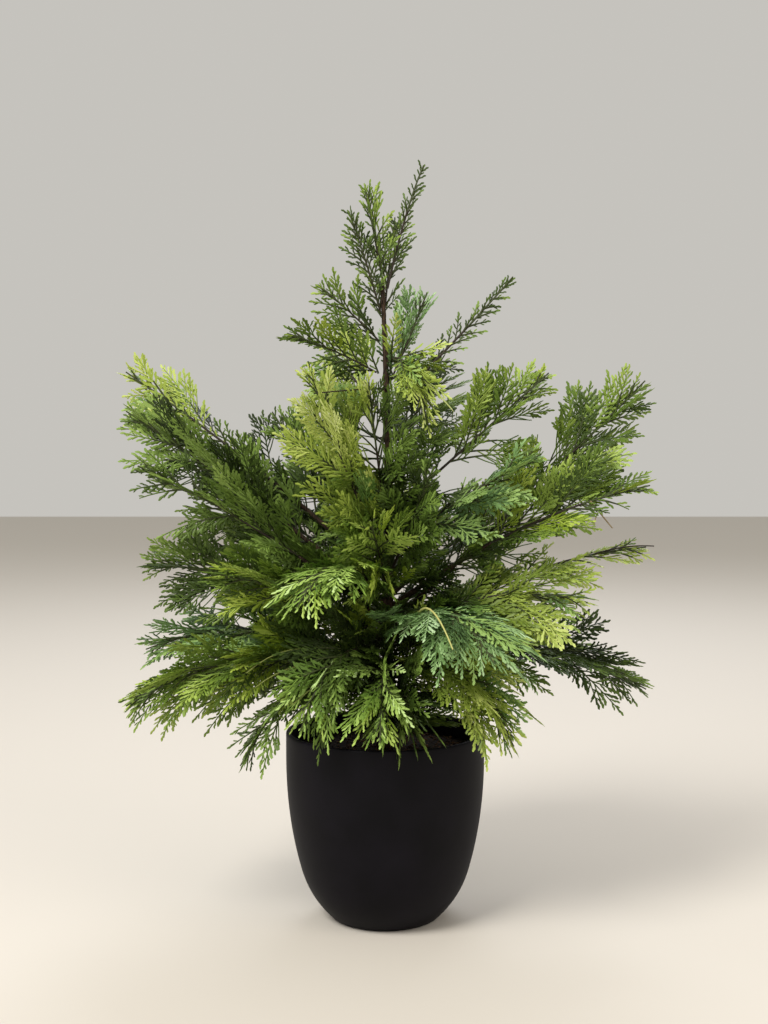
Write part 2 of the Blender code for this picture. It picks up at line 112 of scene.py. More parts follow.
def mottled(tree, shader, where, grain, ramp):
    """Gives a finish a base colour that runs through a ramp by clouds of noise. Returns the clouds."""
    clouds = add_node(tree, "ShaderNodeTexNoise", grain, {"Vector": where}).outputs["Fac"]
    tint = add_node(tree, "ShaderNodeValToRGB", {}, {"Fac": clouds})
    for element, (level, colour) in zip(tint.color_ramp.elements, ramp):
        element.position = level
        element.color = linear(colour)
    tree.links.new(tint.outputs["Color"], shader.inputs["Base Color"])
    return clouds


def new_object(name, mesh):
    thing = bpy.data.objects.new(name, mesh)
    bpy.context.scene.collection.objects.link(thing)
    return thing


def turned(name, profile, steps):
    """A closed shape turned round Z, from a profile of (radius, height) that starts and ends on the axis."""
    outline = bpy.data.meshes.new(name)
    edges = [(i, i + 1) for i in range(len(profile) - 1)]
    outline.from_pydata([(radius, 0, height) for radius, height in profile], edges, [])
    guide = new_object(name + "_profile", outline)
    screw = guide.modifiers.new("turn", "SCREW")
    screw.steps = screw.render_steps = steps
    screw.use_merge_vertices = True
    screw.merge_threshold = MERGED
    graph = bpy.context.evaluated_depsgraph_get()
    mesh = bpy.data.meshes.new_from_object(guide.evaluated_get(graph))
    bpy.data.objects.remove(guide)
    tidy = bmesh.new()
    tidy.from_mesh(mesh)
    bmesh.ops.remove_doubles(tidy, verts=tidy.verts, dist=MERGED)
    bmesh.ops.recalc_face_normals(tidy, faces=tidy.faces)
    tidy.to_mesh(mesh)
    tidy.free()
    mesh.shade_smooth()
    return new_object(name, mesh)


lip = POT_WALL / 2
rim = [
    (POT_RADIUS - lip + lip * math.sin(turn), POT_HEIGHT - lip * (1 - math.cos(turn)))
    for turn in spaced(-math.pi / 2, math.pi / 2, 9)
]
inside = [(max(0.0, pot_outside(h) - POT_WALL), h) for h in spaced(2 * POT_FLOOR, POT_HEIGHT - POT_LIP, 24)]
outside = [(pot_outside(h), h) for h in spaced(POT_HEIGHT - POT_LIP, FOOT_EDGE, 48)]
profile = [(0, POT_FLOOR), (pot_outside(POT_FLOOR) - 2 * POT_WALL, POT_FLOOR)] + inside + rim + outside
profile += [(POT_FOOT_RADIUS + more, height) for more, height in FOOT_ROUND] + [(0, 0)]
pot = turned("pot_glazed", profile, POT_STEPS)

# Matte black stoneware glaze: nearly black with a trace of violet, a dry sheen that comes and goes, shallow
# waves from the turning and a fine sandy grain.
glaze, shader = new_material("matte_black_glaze", {"IOR": 1.45, "Specular IOR Level": 0.11})
tree = glaze.node_tree
place = add_node(tree, "ShaderNodeTexCoord", {}, {}).outputs["Object"]
cloud = {"Scale": 1 / 0.045, "Detail": 3.0}
clouds = mottled(tree, shader, place, cloud, ((0.35, "#0B0A0E"), (0.7, "#121016")))
sheen = add_node(tree, "ShaderNodeMapRange", {"To Min": 0.5, "To Max": 0.62}, {"Value": clouds})
tree.links.new(sheen.outputs["Result"], shader.inputs["Roughness"])
grain = add_node(tree, "ShaderNodeTexNoise", {"Scale": 1 / 0.0009, "Detail": 2.0}, {"Vector": place})
waves = add_node(tree, "ShaderNodeTexNoise", {"Scale": 1 / 0.018, "Detail": 1.0}, {"Vector": place})
links = {"Height": waves.outputs["Fac"]}
relief = add_node(tree, "ShaderNodeBump", {"Strength": 0.35, "Distance": 0.0004}, links)
links = {"Height": grain.outputs["Fac"], "Normal": relief.outputs["Normal"]}
relief = add_node(tree, "ShaderNodeBump", {"Strength": 0.3, "Distance": 0.00008}, links)
tree.links.new(relief.outputs["Normal"], shader.inputs["Normal"])
pot.data.materials.append(glaze)
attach(pot, "root")
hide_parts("pot")


# The potting mix is dark moist peat with crumbs of composted bark. It fills the pot to a thumb's width under
# the rim and domes a little at the trunk. The body is one lumpy plug, and the crumbs lie sunk in its top.
MIX_EDGE = 0.144
MIX_CROWN = 0.147
MIX_DEPTH = 0.03
MIX_SIDES = 96
MIX_LUMP = 0.006
MIX_ROUGHNESS = 0.0011
MIX_SUNK = 0.0008
FIT = 0.0004
SPOKE_CUTS = 5
LONGEST_SPOKE = 0.003
CRUMBS = 900
CRUMB_SIZES = (0.0016, 0.0055)
CRUMB_WIDTHS = (0.5, 0.9)  # of its length
CRUMB_DEPTHS = (0.25, 0.5)
CRUMB_RAISED = 0.12
CRUMB_LEAN = 0.5
CRUMB_DENTS = 0.35  # of its radius
CRUMB_DENT_GRAIN = 3.1
CRUMB_TURNS = 7  # how many times the crumbs' heading turns on the way round the pot
WALL_CLEARANCE = 0.004


def mix_height(x, y):
    """Height of the mix: a low dome with lumps a few millimetres wide."""
    dome = MIX_CROWN + (MIX_EDGE - MIX_CROWN) * math.hypot(x, y) / POT_RADIUS
    lumps = noise.fractal(Vector((x, y, 0)) / MIX_LUMP, 0.8, 2.0, 3)
    return dome - MIX_SUNK + MIX_ROUGHNESS * lumps


mix_radius = POT_RADIUS - POT_WALL - FIT
mesh = bpy.data.meshes.new("potting_mix_lumpy")
plug = bmesh.new()
bmesh.ops.create_circle(plug, cap_ends=True, cap_tris=True, segments=MIX_SIDES, radius=mix_radius)
for _ in range(SPOKE_CUTS):
    spokes = [
        edge
        for edge in plug.edges
        if abs(edge.verts[0].co.length - edge.verts[1].co.length) > LONGEST_SPOKE
    ]
    bmesh.ops.subdivide_edges(plug, edges=spokes, cuts=1)
for vertex in plug.verts:
    vertex.co.z = mix_height(vertex.co.x, vertex.co.y)
border = [edge for edge in plug.edges if edge.is_boundary]
walls = bmesh.ops.extrude_edge_only(plug, edges=border)["geom"]
foot = MIX_EDGE - MIX_DEPTH
for vertex in [part for part in walls if isinstance(part, bmesh.types.BMVert)]:
    vertex.co = Vector((vertex.co.x, vertex.co.y, 0)).normalized() * (pot_outside(foot) - POT_WALL - FIT)
    vertex.co.z = foot
bmesh.ops.contextual_create(plug, geom=[part for part in walls if isinstance(part, bmesh.types.BMEdge)])
bmesh.ops.triangulate(plug, faces=plug.faces)
bmesh.ops.recalc_face_normals(plug, faces=plug.faces)
plug.to_mesh(mesh)
plug.free()
mesh.shade_smooth()
mix = new_object("potting_mix_lumpy", mesh)


def new_tree(name, inputs):
    """A Geometry Nodes tree with a geometry going in and out, and the named inputs as (name, socket type)."""
    tree = bpy.data.node_groups.new(name, "GeometryNodeTree")
    tree.interface.new_socket("Geometry", in_out="INPUT", socket_type="NodeSocketGeometry")
    for socket, kind in inputs:
        tree.interface.new_socket(socket, in_out="INPUT", socket_type=kind)
    tree.interface.new_socket("Geometry", in_out="OUTPUT", socket_type="NodeSocketGeometry")
    return tree, tree.nodes.new("NodeGroupInput").outputs, tree.nodes.new("NodeGroupOutput")


def carry(mesh, key, kind, values):
    """Gives each point of a mesh a value of its own."""
    part = "vector" if kind == "FLOAT_VECTOR" else "value"
    number = {"INT": np.int32, "BOOLEAN": bool}.get(kind, np.float32)
    mesh.attributes.new(key, kind, "POINT").data.foreach_set(part, np.array(values, number).ravel())


def placing(tree, points, shape):
    """Puts a copy of the shape on every point, turned and sized by what the points carry."""
    carried = {}
    for key in ("along", "face", "size"):
        settings = {"data_type": "FLOAT_VECTOR", "Name": key}
        carried[key] = add_node(tree, "GeometryNodeInputNamedAttribute", settings, {}).outputs["Attribute"]
    info = add_node(tree, "GeometryNodeObjectInfo", {}, {"Object": shape})
    settings = {"primary_axis": "X", "secondary_axis": "Z"}
    links = {"Primary Axis": carried["along"], "Secondary Axis": carried["face"]}
    turn = add_node(tree, "FunctionNodeAxesToRotation", settings, links)
    links = {"Points": points, "Instance": info.outputs["Geometry"]}
    links.update({"Rotation": turn.outputs["Rotation"], "Scale": carried["size"]})
    copies = add_node(tree, "GeometryNodeInstanceOnPoints", {}, links)
    real = add_node(tree, "GeometryNodeRealizeInstances", {}, {"Geometry": copies.outputs["Instances"]})
    return real.outputs["Geometry"]


def points_mesh(name, places, along, face, sizes, shades):
    """A mesh of loose points that carry a direction, a facing, a size and a shade each."""
    mesh = bpy.data.meshes.new(name)
    mesh.vertices.add(len(places))
    mesh.vertices.foreach_set("co", np.array(places, np.float32).ravel())
    for key, values in (("along", along), ("face", face), ("size", sizes)):
        carry(mesh, key, "FLOAT_VECTOR", values)
    carry(mesh, "shade", "INT", shades)
    return mesh


def grown(guide, tree, values):
    """The plain mesh that a tree makes of a guide, which is then removed. Values are the tree's inputs."""
    modifier = guide.modifiers.new("grow", "NODES")
    modifier.node_group = tree
    for item in tree.interface.items_tree:
        if item.name in values:
            modifier[item.identifier] = values[item.name]
    graph = bpy.context.evaluated_depsgraph_get()
    mesh = bpy.data.meshes.new_from_object(guide.evaluated_get(graph))
    bpy.data.objects.remove(guide)
    if mesh.materials and mesh.materials[0] is None:
        mesh.materials.pop(index=0)
    return mesh


crumb_mesh = bpy.data.meshes.new("crumb")
crumb = bmesh.new()
bmesh.ops.create_icosphere(crumb, subdivisions=1, radius=0.5)
for vertex in crumb.verts:
    vertex.co *= 1 + CRUMB_DENTS * noise.noise(vertex.co * CRUMB_DENT_GRAIN)
crumb.to_mesh(crumb_mesh)
crumb.free()
crumb_shape = bpy.data.objects.new("crumb", crumb_mesh)

sockets = [("Crumb", "NodeSocketObject"), ("Bark", "NodeSocketMaterial")]
scatter, entry, out = new_tree("scatter_crumbs", sockets)
links = {"Geometry": placing(scatter, entry["Geometry"], entry["Crumb"]), "Material": entry["Bark"]}
made = add_node(scatter, "GeometryNodeSetMaterial", {}, links)
scatter.links.new(made.outputs["Geometry"], out.inputs["Geometry"])

# Moist peat: almost black brown and dull, lighter where it has dried on the lumps, with short fibres.
peat, shader = new_material("moist_peat", {"Roughness": 0.95, "IOR": 1.45, "Specular IOR Level": 0.2})
tree = peat.node_tree
place = add_node(tree, "ShaderNodeTexCoord", {}, {}).outputs["Object"]
fibre = {"Scale": 1 / 0.0025, "Detail": 5.0, "Roughness": 0.7}
fibres = mottled(tree, shader, place, fibre, ((0.35, "#130E0A"), (0.72, "#33271D")))
relief = add_node(tree, "ShaderNodeBump", {"Strength": 0.8, "Distance": 0.0006}, {"Height": fibres})
tree.links.new(relief.outputs["Normal"], shader.inputs["Normal"])
mix.data.materials.append(peat)

# Composted bark: flat dark brown crumbs, a few of them paler.
finish = {"Roughness": 0.9, "IOR": 1.45, "Specular IOR Level": 0.25}
bark_crumb, shader = new_material("composted_bark", finish)
tree = bark_crumb.node_tree
place = add_node(tree, "ShaderNodeTexCoord", {}, {}).outputs["Object"]
mottled(tree, shader, place, {"Scale": 1 / 0.006, "Detail": 2.0}, ((0.4, "#2A1D14"), (0.68, "#6B4F38")))

chance = random.Random(11)
places, along, face, sizes = [], [], [], []
for _ in range(CRUMBS):
    turn = chance.uniform(0, 2 * math.pi)
    out_from = (mix_radius - WALL_CLEARANCE) * math.sqrt(chance.random())
    x, y = out_from * math.cos(turn), out_from * math.sin(turn)
    length = chance.triangular(*CRUMB_SIZES, CRUMB_SIZES[0])
    lean = (chance.uniform(-CRUMB_LEAN, CRUMB_LEAN), chance.uniform(-CRUMB_LEAN, CRUMB_LEAN), 1)
    lean = Vector(lean).normalized()
    heading = Vector((math.cos(turn * CRUMB_TURNS), math.sin(turn * CRUMB_TURNS), 0))
    places.append((x, y, mix_height(x, y) + CRUMB_RAISED * length))
    along.append(heading - lean * heading.dot(lean))
    face.append(lean)
    sizes.append((length, length * chance.uniform(*CRUMB_WIDTHS), length * chance.uniform(*CRUMB_DEPTHS)))
guide = new_object("crumb_points", points_mesh("crumb_points", places, along, face, sizes, [0] * CRUMBS))
crumbs = new_object("bark_crumbs", grown(guide, scatter, {"Crumb": crumb_shape, "Bark": bark_crumb}))
bpy.data.objects.remove(crumb_shape)
for piece in (mix, crumbs):
    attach(piece, "root")
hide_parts("potting_mix")


# The trunk is one slender stem of young cypress wood, with a small root flare at the mix and thin red-brown
# bark that splits lengthwise into strips. The strips are modelled, as ridges a millimetre or two wide.
TRUNK_TIP = 0.545
TRUNK_FOOT_RADIUS = 0.0052
TRUNK_TIP_RADIUS = 0.0017
TRUNK_FLARE = 0.0024
TRUNK_FLARE_HEIGHT = 0.012
TRUNK_BOW = 0.0045
TRUNK_LEAN = -0.0025
TRUNK_SUNK = 0.001
TRUNK_SIDES = 28
RING_STEP = 0.0014
BARK_RELIEF = 0.16  # of the radius
BARK_STRIP = 0.0085  # length of a strip
BARK_STRIPS_ROUND = 2.2


def trunk_place(height):
    share = (height - MIX_CROWN) / (TRUNK_TIP - MIX_CROWN)
    return Vector((TRUNK_BOW * math.sin(math.pi * share) + TRUNK_LEAN * share, 0, height))


def trunk_radius(height):
    share = (height - MIX_CROWN) / (TRUNK_TIP - MIX_CROWN)
    taper = TRUNK_FOOT_RADIUS + (TRUNK_TIP_RADIUS - TRUNK_FOOT_RADIUS) * share
    return taper + TRUNK_FLARE * math.exp((MIX_CROWN - height) / TRUNK_FLARE_HEIGHT)


def bark_tube(name, line, radii, sides, seed):
    """A closed limb along a line of points, its skin raised into strips that run along it."""
    rings = len(line)
    up = Vector((0, -1, 0.01))
    verts, run = [], 0.0
    for i, (centre, radius) in enumerate(zip(line, radii)):
        ahead = (line[min(i + 1, rings - 1)] - line[max(i - 1, 0)]).normalized()
        side = up.cross(ahead).normalized()
        up = ahead.cross(side)
        run += (centre - line[i - 1]).length if i else 0.0
        for k in range(sides):
            turn = 2 * math.pi * k / sides
            where = (BARK_STRIPS_ROUND * math.cos(turn) + seed, BARK_STRIPS_ROUND * math.sin(turn))
            strip = abs(noise.noise(Vector((*where, run / BARK_STRIP)))) * 2 - 0.5
            skin = radius * (1 + BARK_RELIEF * strip)
            verts.append(centre + side * (skin * math.cos(turn)) + up * (skin * math.sin(turn)))
    faces = [
        (i * sides + k, i * sides + (k + 1) % sides, (i + 1) * sides + (k + 1) % sides, (i + 1) * sides + k)
        for i in range(rings - 1)
        for k in range(sides)
    ]
    faces += [tuple(range(sides))[::-1], tuple(range((rings - 1) * sides, rings * sides))]
    mesh = bpy.data.meshes.new(name)
    mesh.from_pydata(verts, [], faces)
    return mesh


def joined(name, meshes, material):
    """One smooth object of several closed meshes, which are then removed."""
    whole = bmesh.new()
    for mesh in meshes:
        whole.from_mesh(mesh)
        bpy.data.meshes.remove(mesh)
    bmesh.ops.recalc_face_normals(whole, faces=whole.faces)
    mesh = bpy.data.meshes.new(name)
    whole.to_mesh(mesh)
    whole.free()
    mesh.materials.append(material)
    mesh.shade_smooth()
    return new_object(name, mesh)


# Young cypress bark: red brown over grey and matt, with fibres drawn out lengthwise, darker in the splits.
bark, shader = new_material("cypress_bark", {"Roughness": 0.85, "IOR": 1.45, "Specular IOR Level": 0.3})
tree = bark.node_tree
place = add_node(tree, "ShaderNodeTexCoord", {}, {}).outputs["Object"]
settings = {"vector_type": "POINT", "Scale": (1, 1, 0.22)}
strips = add_node(tree, "ShaderNodeMapping", settings, {"Vector": place})
fibre = {"Scale": 1 / 0.0011, "Detail": 4.0}
fibres = mottled(tree, shader, strips.outputs["Vector"], fibre, ((0.36, "#1C1510"), (0.66, "#4A392B")))
relief = add_node(tree, "ShaderNodeBump", {"Strength": 0.6, "Distance": 0.0003}, {"Height": fibres})
tree.links.new(relief.outputs["Normal"], shader.inputs["Normal"])

foot = MIX_CROWN - TRUNK_SUNK
heights = spaced(foot, TRUNK_TIP, round((TRUNK_TIP - foot) / RING_STEP))
line = [trunk_place(h) for h in heights]
radii = [trunk_radius(h) for h in heights]
trunk = joined("trunk_bark", [bark_tube("trunk_bark", line, radii, TRUNK_SIDES, 0)], bark)
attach(trunk, "root")
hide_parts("trunk")


# The limbs grow from the trunk as in the CAD, and each arches from its place on the trunk to its tip. A limb
# with a long bare foot is a bough, in the same bark as the trunk. A row gives the limb's name, height on the
# trunk, bearing, reach, height of the tip, arch, half width and roll of its sprays, bare share and green.
BOUGH_FROM = 0.2
BOUGH_RADIUS = 0.0026
BOUGH_TIP_RADIUS = 0.0016
BOUGH_SIDES = 14
STEEPEST = 0.05  # a limb closer to upright than this has no level side of its own
CROWN = (
    ("crest_leader", 0.545, 180, 0.017, 0.624, 0.000, 0.022, 90, 0.0, "green"),
    ("crest_right", 0.522, 17, 0.034, 0.642, 0.020, 0.016, 90, 0.1, "dark"),
    ("crest_left", 0.506, 203, 0.033, 0.600, 0.008, 0.016, 80, 0.1, "dark"),
    ("crest_back", 0.511, 79, 0.045, 0.600, 0.010, 0.027, 60, 0.1, "green"),
    ("upper_left_tip", 0.488, 195, 0.058, 0.539, 0.004, 0.030, 70, 0.1, "green"),
    ("upper_left", 0.462, 197, 0.085, 0.498, 0.006, 0.033, 60, 0.1, "green"),
    ("upper_right_upright", 0.452, 29, 0.041, 0.536, -0.004, 0.030, 80, 0.1, "glaucous"),
    ("upper_right_long", 0.437, 17, 0.116, 0.551, -0.006, 0.025, 75, 0.14, "dark"),
    ("upper_front", 0.472, 311, 0.056, 0.416, 0.055, 0.033, 30, 0.1, "bright"),
    ("upper_back_left", 0.425, 119, 0.108, 0.496, 0.000, 0.047, 20, 0.1, "bright"),
    ("upper_back_right", 0.400, 57, 0.101, 0.470, 0.000, 0.048, -20, 0.1, "green"),
    ("front_left_tall", 0.312, 216, 0.078, 0.474, -0.030, 0.050, 10, 0.1, "bright"),
    ("front_tall", 0.330, 254, 0.052, 0.466, -0.020, 0.040, 0, 0.1, "bright"),
    ("front_inner", 0.292, 304, 0.070, 0.388, 0.000, 0.045, -10, 0.1, "dark"),
    ("front_mid", 0.276, 262, 0.086, 0.346, 0.004, 0.042, 10, 0.1, "green"),
    ("front_low", 0.182, 282, 0.096, 0.182, 0.036, 0.052, 0, 0.1, "dark"),
    ("right_mid", 0.345, 356, 0.138, 0.466, 0.000, 0.045, 60, 0.22, "green"),
    ("right_inner", 0.318, 344, 0.134, 0.398, 0.006, 0.043, 30, 0.12, "glaucous"),
    ("right_high", 0.251, 2, 0.222, 0.460, -0.006, 0.055, 70, 0.44, "green"),
    ("right_end", 0.265, 352, 0.222, 0.372, 0.030, 0.053, 40, 0.40, "green"),
    ("right_thin", 0.230, 4, 0.226, 0.317, 0.036, 0.040, 20, 0.36, "bright"),
    ("right_front", 0.239, 339, 0.176, 0.278, 0.040, 0.050, 20, 0.30, "bright"),
    ("right_low", 0.216, 357, 0.222, 0.198, 0.056, 0.044, 15, 0.34, "dark"),
    ("left_high", 0.288, 169, 0.232, 0.469, 0.014, 0.043, 100, 0.42, "bright"),
    ("left_mid", 0.268, 180, 0.220, 0.434, 0.010, 0.050, 75, 0.40, "dark"),
    ("left_broad", 0.252, 186, 0.208, 0.388, 0.020, 0.044, 50, 0.36, "dark"),
    ("left_upright", 0.300, 160, 0.105, 0.434, -0.010, 0.040, 80, 0.12, "dark"),
    ("left_level", 0.236, 181, 0.203, 0.304, 0.030, 0.048, 40, 0.30, "dark"),
    ("left_front", 0.226, 205, 0.152, 0.300, 0.030, 0.053, 25, 0.14, "green"),
    ("left_low", 0.214, 172, 0.212, 0.226, 0.050, 0.048, 20, 0.30, "glaucous"),
    ("left_long", 0.200, 192, 0.219, 0.190, 0.062, 0.050, 12, 0.30, "green"),
    ("left_rim", 0.186, 208, 0.134, 0.144, 0.090, 0.033, 10, 0.1, "dark"),
    ("front_left_fan", 0.262, 238, 0.130, 0.280, 0.070, 0.040, 0, 0.14, "pale"),
    ("front_left_hang", 0.209, 238, 0.126, 0.182, 0.080, 0.040, 0, 0.12, "pale"),
    ("front_rim", 0.194, 268, 0.118, 0.175, 0.074, 0.036, 0, 0.12, "pale"),
    ("front_fan", 0.229, 304, 0.150, 0.238, 0.074, 0.058, 0, 0.16, "glaucous"),
    ("front_right_rim", 0.203, 319, 0.136, 0.166, 0.078, 0.045, -10, 0.14, "bright"),
    ("back_left_low", 0.205, 138, 0.206, 0.214, 0.054, 0.057, 10, 0.16, "green"),
    ("back_low", 0.222, 94, 0.204, 0.228, 0.054, 0.060, 0, 0.16, "dark"),
    ("back_right_low", 0.205, 44, 0.204, 0.202, 0.058, 0.057, -10, 0.16, "glaucous"),
    ("back_left_mid", 0.278, 138, 0.188, 0.348, 0.020, 0.057, 10, 0.22, "dark"),
    ("back_mid", 0.290, 98, 0.186, 0.360, 0.022, 0.060, 0, 0.16, "bright"),
    ("back_right_mid", 0.275, 47, 0.190, 0.344, 0.020, 0.057, -10, 0.22, "green"),
)


def arc(start, pull, end, share):
    """A place on the arch from start to end that leans towards pull."""
    return (1 - share) ** 2 * start + 2 * (1 - share) * share * pull + share**2 * end


class Limb:
    """One row of the crown: its line from the trunk to its tip, and the frame of its sprays."""

    def __init__(self, number, row):
        name, spring, bearing, reach, height, arch, half_width, roll, bare, tone = row
        self.name, self.tone, self.bare = name, tone, bare
        self.half_width, self.roll = half_width, math.radians(roll)
        self.random = random.Random(number)
        turn = math.radians(bearing)
        self.start = trunk_place(spring)
        self.end = Vector((reach * math.cos(turn), reach * math.sin(turn), height))
        self.pull = (self.start + self.end) / 2 + Vector((0, 0, arch))
        line = [self.at(share) for share in spaced(0, 1, 25)]
        self.length = sum((b - a).length for a, b in zip(line, line[1:]))

    def at(self, share):
        return arc(self.start, self.pull, self.end, share)

    def along(self, share):
        return ((1 - share) * (self.pull - self.start) + share * (self.end - self.pull)).normalized()

    def sideways(self, share):
        """Across the limb in the plane of its sprays, level where the roll is 0."""
        along = self.along(share)
        level = along.cross(Vector((0, 0, 1)))
        if level.length < STEEPEST:
            level = Vector((1, 0, 0))
        return Quaternion(along, self.roll) @ level.normalized()


limbs = [Limb(number, row) for number, row in enumerate(CROWN)]
bough_meshes = []
for number, limb in enumerate(limbs):
    if limb.bare <= BOUGH_FROM:
        continue
    count = round(limb.length * limb.bare / RING_STEP)
    line = [limb.at(share) for share in spaced(0, limb.bare, count)]
    radii = spaced(BOUGH_RADIUS, BOUGH_TIP_RADIUS, count)
    bough_meshes.append(bark_tube("bough", line, radii, BOUGH_SIDES, number + 1))
boughs = joined("boughs_bark", bough_meshes, bark)
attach(boughs, "root")
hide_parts(*["bough_" + limb.name for limb in limbs if limb.bare > BOUGH_FROM])


# Some bare twigs stick out of the foliage: a yellow one over the blue-green fan, olive ones low on the left,
# and dry or brown ones at the right and by the trunk. A row gives start, pull and end of the arch, the radius
# and the kind.
LOOSE_TWIGS = (
    ((0.0256, -0.0441, 0.2633), (0.034, -0.118, 0.296), (0.0510, -0.144, 0.252), 0.0010, "yellow"),
    ((0.1714, -0.0241, 0.3587), (0.178, -0.028, 0.350), (0.190, -0.024, 0.336), 0.0008, "dry"),
    ((0.1775, -0.0265, 0.3490), (0.174, -0.030, 0.344), (0.1735, -0.031, 0.337), 0.0006, "dry"),
    ((0.1804, 0.0126, 0.3111), (0.205, 0.010, 0.320), (0.2310, 0.008, 0.3185), 0.0009, "stem"),
    ((0.0020, -0.0010, 0.4530), (-0.024, -0.030, 0.452), (-0.058, -0.052, 0.4475), 0.0009, "stem"),
    ((0.0020, 0.0000, 0.4120), (-0.004, -0.002, 0.412), (-0.0095, -0.003, 0.4105), 0.0008, "stem"),
    ((-0.006, -0.004, 0.2080), (-0.066, -0.060, 0.262), (-0.112, -0.072, 0.222), 0.0007, "olive"),
    ((-0.006, -0.006, 0.2020), (-0.060, -0.066, 0.246), (-0.104, -0.082, 0.212), 0.0007, "olive"),
    ((-0.006, -0.008, 0.1960), (-0.036, -0.080, 0.236), (-0.074, -0.096, 0.200), 0.0006, "olive"),
)
LOOSE_POINTS = 12
LOOSE_TAPER = 0.6
twigs = []  # (points, radii, kind)
for start, pull, end, radius, kind in LOOSE_TWIGS:
    line = [arc(Vector(start), Vector(pull), Vector(end), share) for share in spaced(0, 1, LOOSE_POINTS)]
    twigs.append((line, spaced(radius, LOOSE_TAPER * radius, LOOSE_POINTS), kind))


# A shoot is a thin green axis under scale leaves. It bears branchlets by turns on either side in one plane,
# shorter towards its end, and one at the end itself.
SHOOT_FROM = 0.0165  # a shorter shoot is one branchlet
SHOOT_RADIUS = 0.0007
SHOOT_TIP_RADIUS = 0.0005
SHOOT_CURL = (-0.16, 0.02)
SHOOT_DROOP = 0.03
SHOOT_STEP = 0.009
UNEVEN = (0.8, 1.25)  # of the pitch of shoots and branchlets
BRANCHLET_PITCH = 0.0035
BRANCHLET_START = 0.0030
BRANCHLET_END = 0.006
BRANCHLET_ANGLE = 30
BRANCHLET_SWING = 8
BRANCHLET_LIFT = 0.2
BRANCHLET_LONGEST = 0.0125
BRANCHLET_LEAST = 0.0030
BRANCHLET_TAPER = 0.5  # of what is left of the shoot
BRANCHLET_VARIATION = (0.75, 1.12)
END_BRANCHLET_FROM = 0.008
shoots = []  # (limb number, points, radii, shade)
branchlets = []  # (limb number, place, along, face, length, shade)


def bent(root, direction, side, length, curl, droop, shares):
    """Points along a shoot that curls to one side in its plane and droops."""
    places = []
    for share in shares:
        run = share * length
        place = root + direction * run + side * (curl * share * run)
        places.append(place - Vector((0, 0, droop * share * run)))
    return places


def aslant(ahead, side, angle):
    """A direction that turns from the one ahead to the side by an angle."""
    return ahead * math.cos(angle) + side * math.sin(angle)


def grow_shoot(number, chance, root, direction, side, normal, length, shade):
    if length < SHOOT_FROM:
        branchlets.append((number, root, direction, normal, length, shade))
        return
    curl = chance.uniform(*SHOOT_CURL)
    count = max(2, round(length / SHOOT_STEP)) + 1
    line = bent(root, direction, side, length, curl, SHOOT_DROOP, spaced(0, 1, count))
    shoots.append((number, line, spaced(SHOOT_RADIUS, SHOOT_TIP_RADIUS, count), shade))
    run, hand = BRANCHLET_START + BRANCHLET_PITCH * chance.random() * 0.5, 1
    while run < length - BRANCHLET_END:
        place = bent(root, direction, side, length, curl, SHOOT_DROOP, [run / length])[0]
        reach = min(BRANCHLET_LONGEST, BRANCHLET_TAPER * (length - run) + BRANCHLET_LEAST)
        reach *= chance.uniform(*BRANCHLET_VARIATION)
        angle = math.radians(BRANCHLET_ANGLE + chance.uniform(-BRANCHLET_SWING, BRANCHLET_SWING))
        heading = aslant(direction, side, hand * angle)
        heading = heading + normal * chance.uniform(-BRANCHLET_LIFT, BRANCHLET_LIFT)
        branchlets.append((number, place, heading, normal * hand, reach, shade))
        run += BRANCHLET_PITCH * chance.uniform(*UNEVEN)
        hand = -hand
    start = bent(root, direction, side, length, curl, SHOOT_DROOP, [1 - END_BRANCHLET_FROM / length])[0]
    branchlets.append((number, start, line[-1] - start, normal, BRANCHLET_LONGEST, shade))


# A side spray is flat like a feather: an axis, woody at its foot, bears shoots by turns on either side,
# longest a third of the way along, and some of the outer ones are newer and lighter.
SPRAY_STEP = 0.008
SPRAY_WOODY = 0.4
SPRAY_RADIUS = 0.0009
SPRAY_TIP_RADIUS = 0.0005
SPRAY_WIDTH = 0.34
SPRAY_SWELL = (0.25, 0.66)
SHOOT_PITCH = 0.0031
SHOOT_START = 0.0035
SHOOT_END = 0.004
SHOOT_ANGLE = 36
SHOOT_ANGLE_TIP = 24
SHOOT_SWING = 7
SHOOT_SHORTEST = 0.0055
SHOOT_VARIATION = (0.72, 1.2)
SHOOT_LIMIT = (0.95, 0.002)  # of what is left of the spray, and added to it
SHOOT_TWIST = 0.25
SKIPPED = 0.07  # share of the shoots that never grew
TAPER_FROM = 0.4
TIP_TAPER = 0.7  # how fast the shoots shorten towards the tip of a spray
LOOK_AHEAD = 0.05
NEWER_FROM = 0.5
NEWER = 0.6
LIGHTEST = (3, 5)  # of a limb's own tones, and of the two that it shares with a neighbour
TIP_BRANCHLET_FROM = 0.007


def lighter(shade):
    """The next tone of the same green."""
    return shade if shade in LIGHTEST else shade + 1


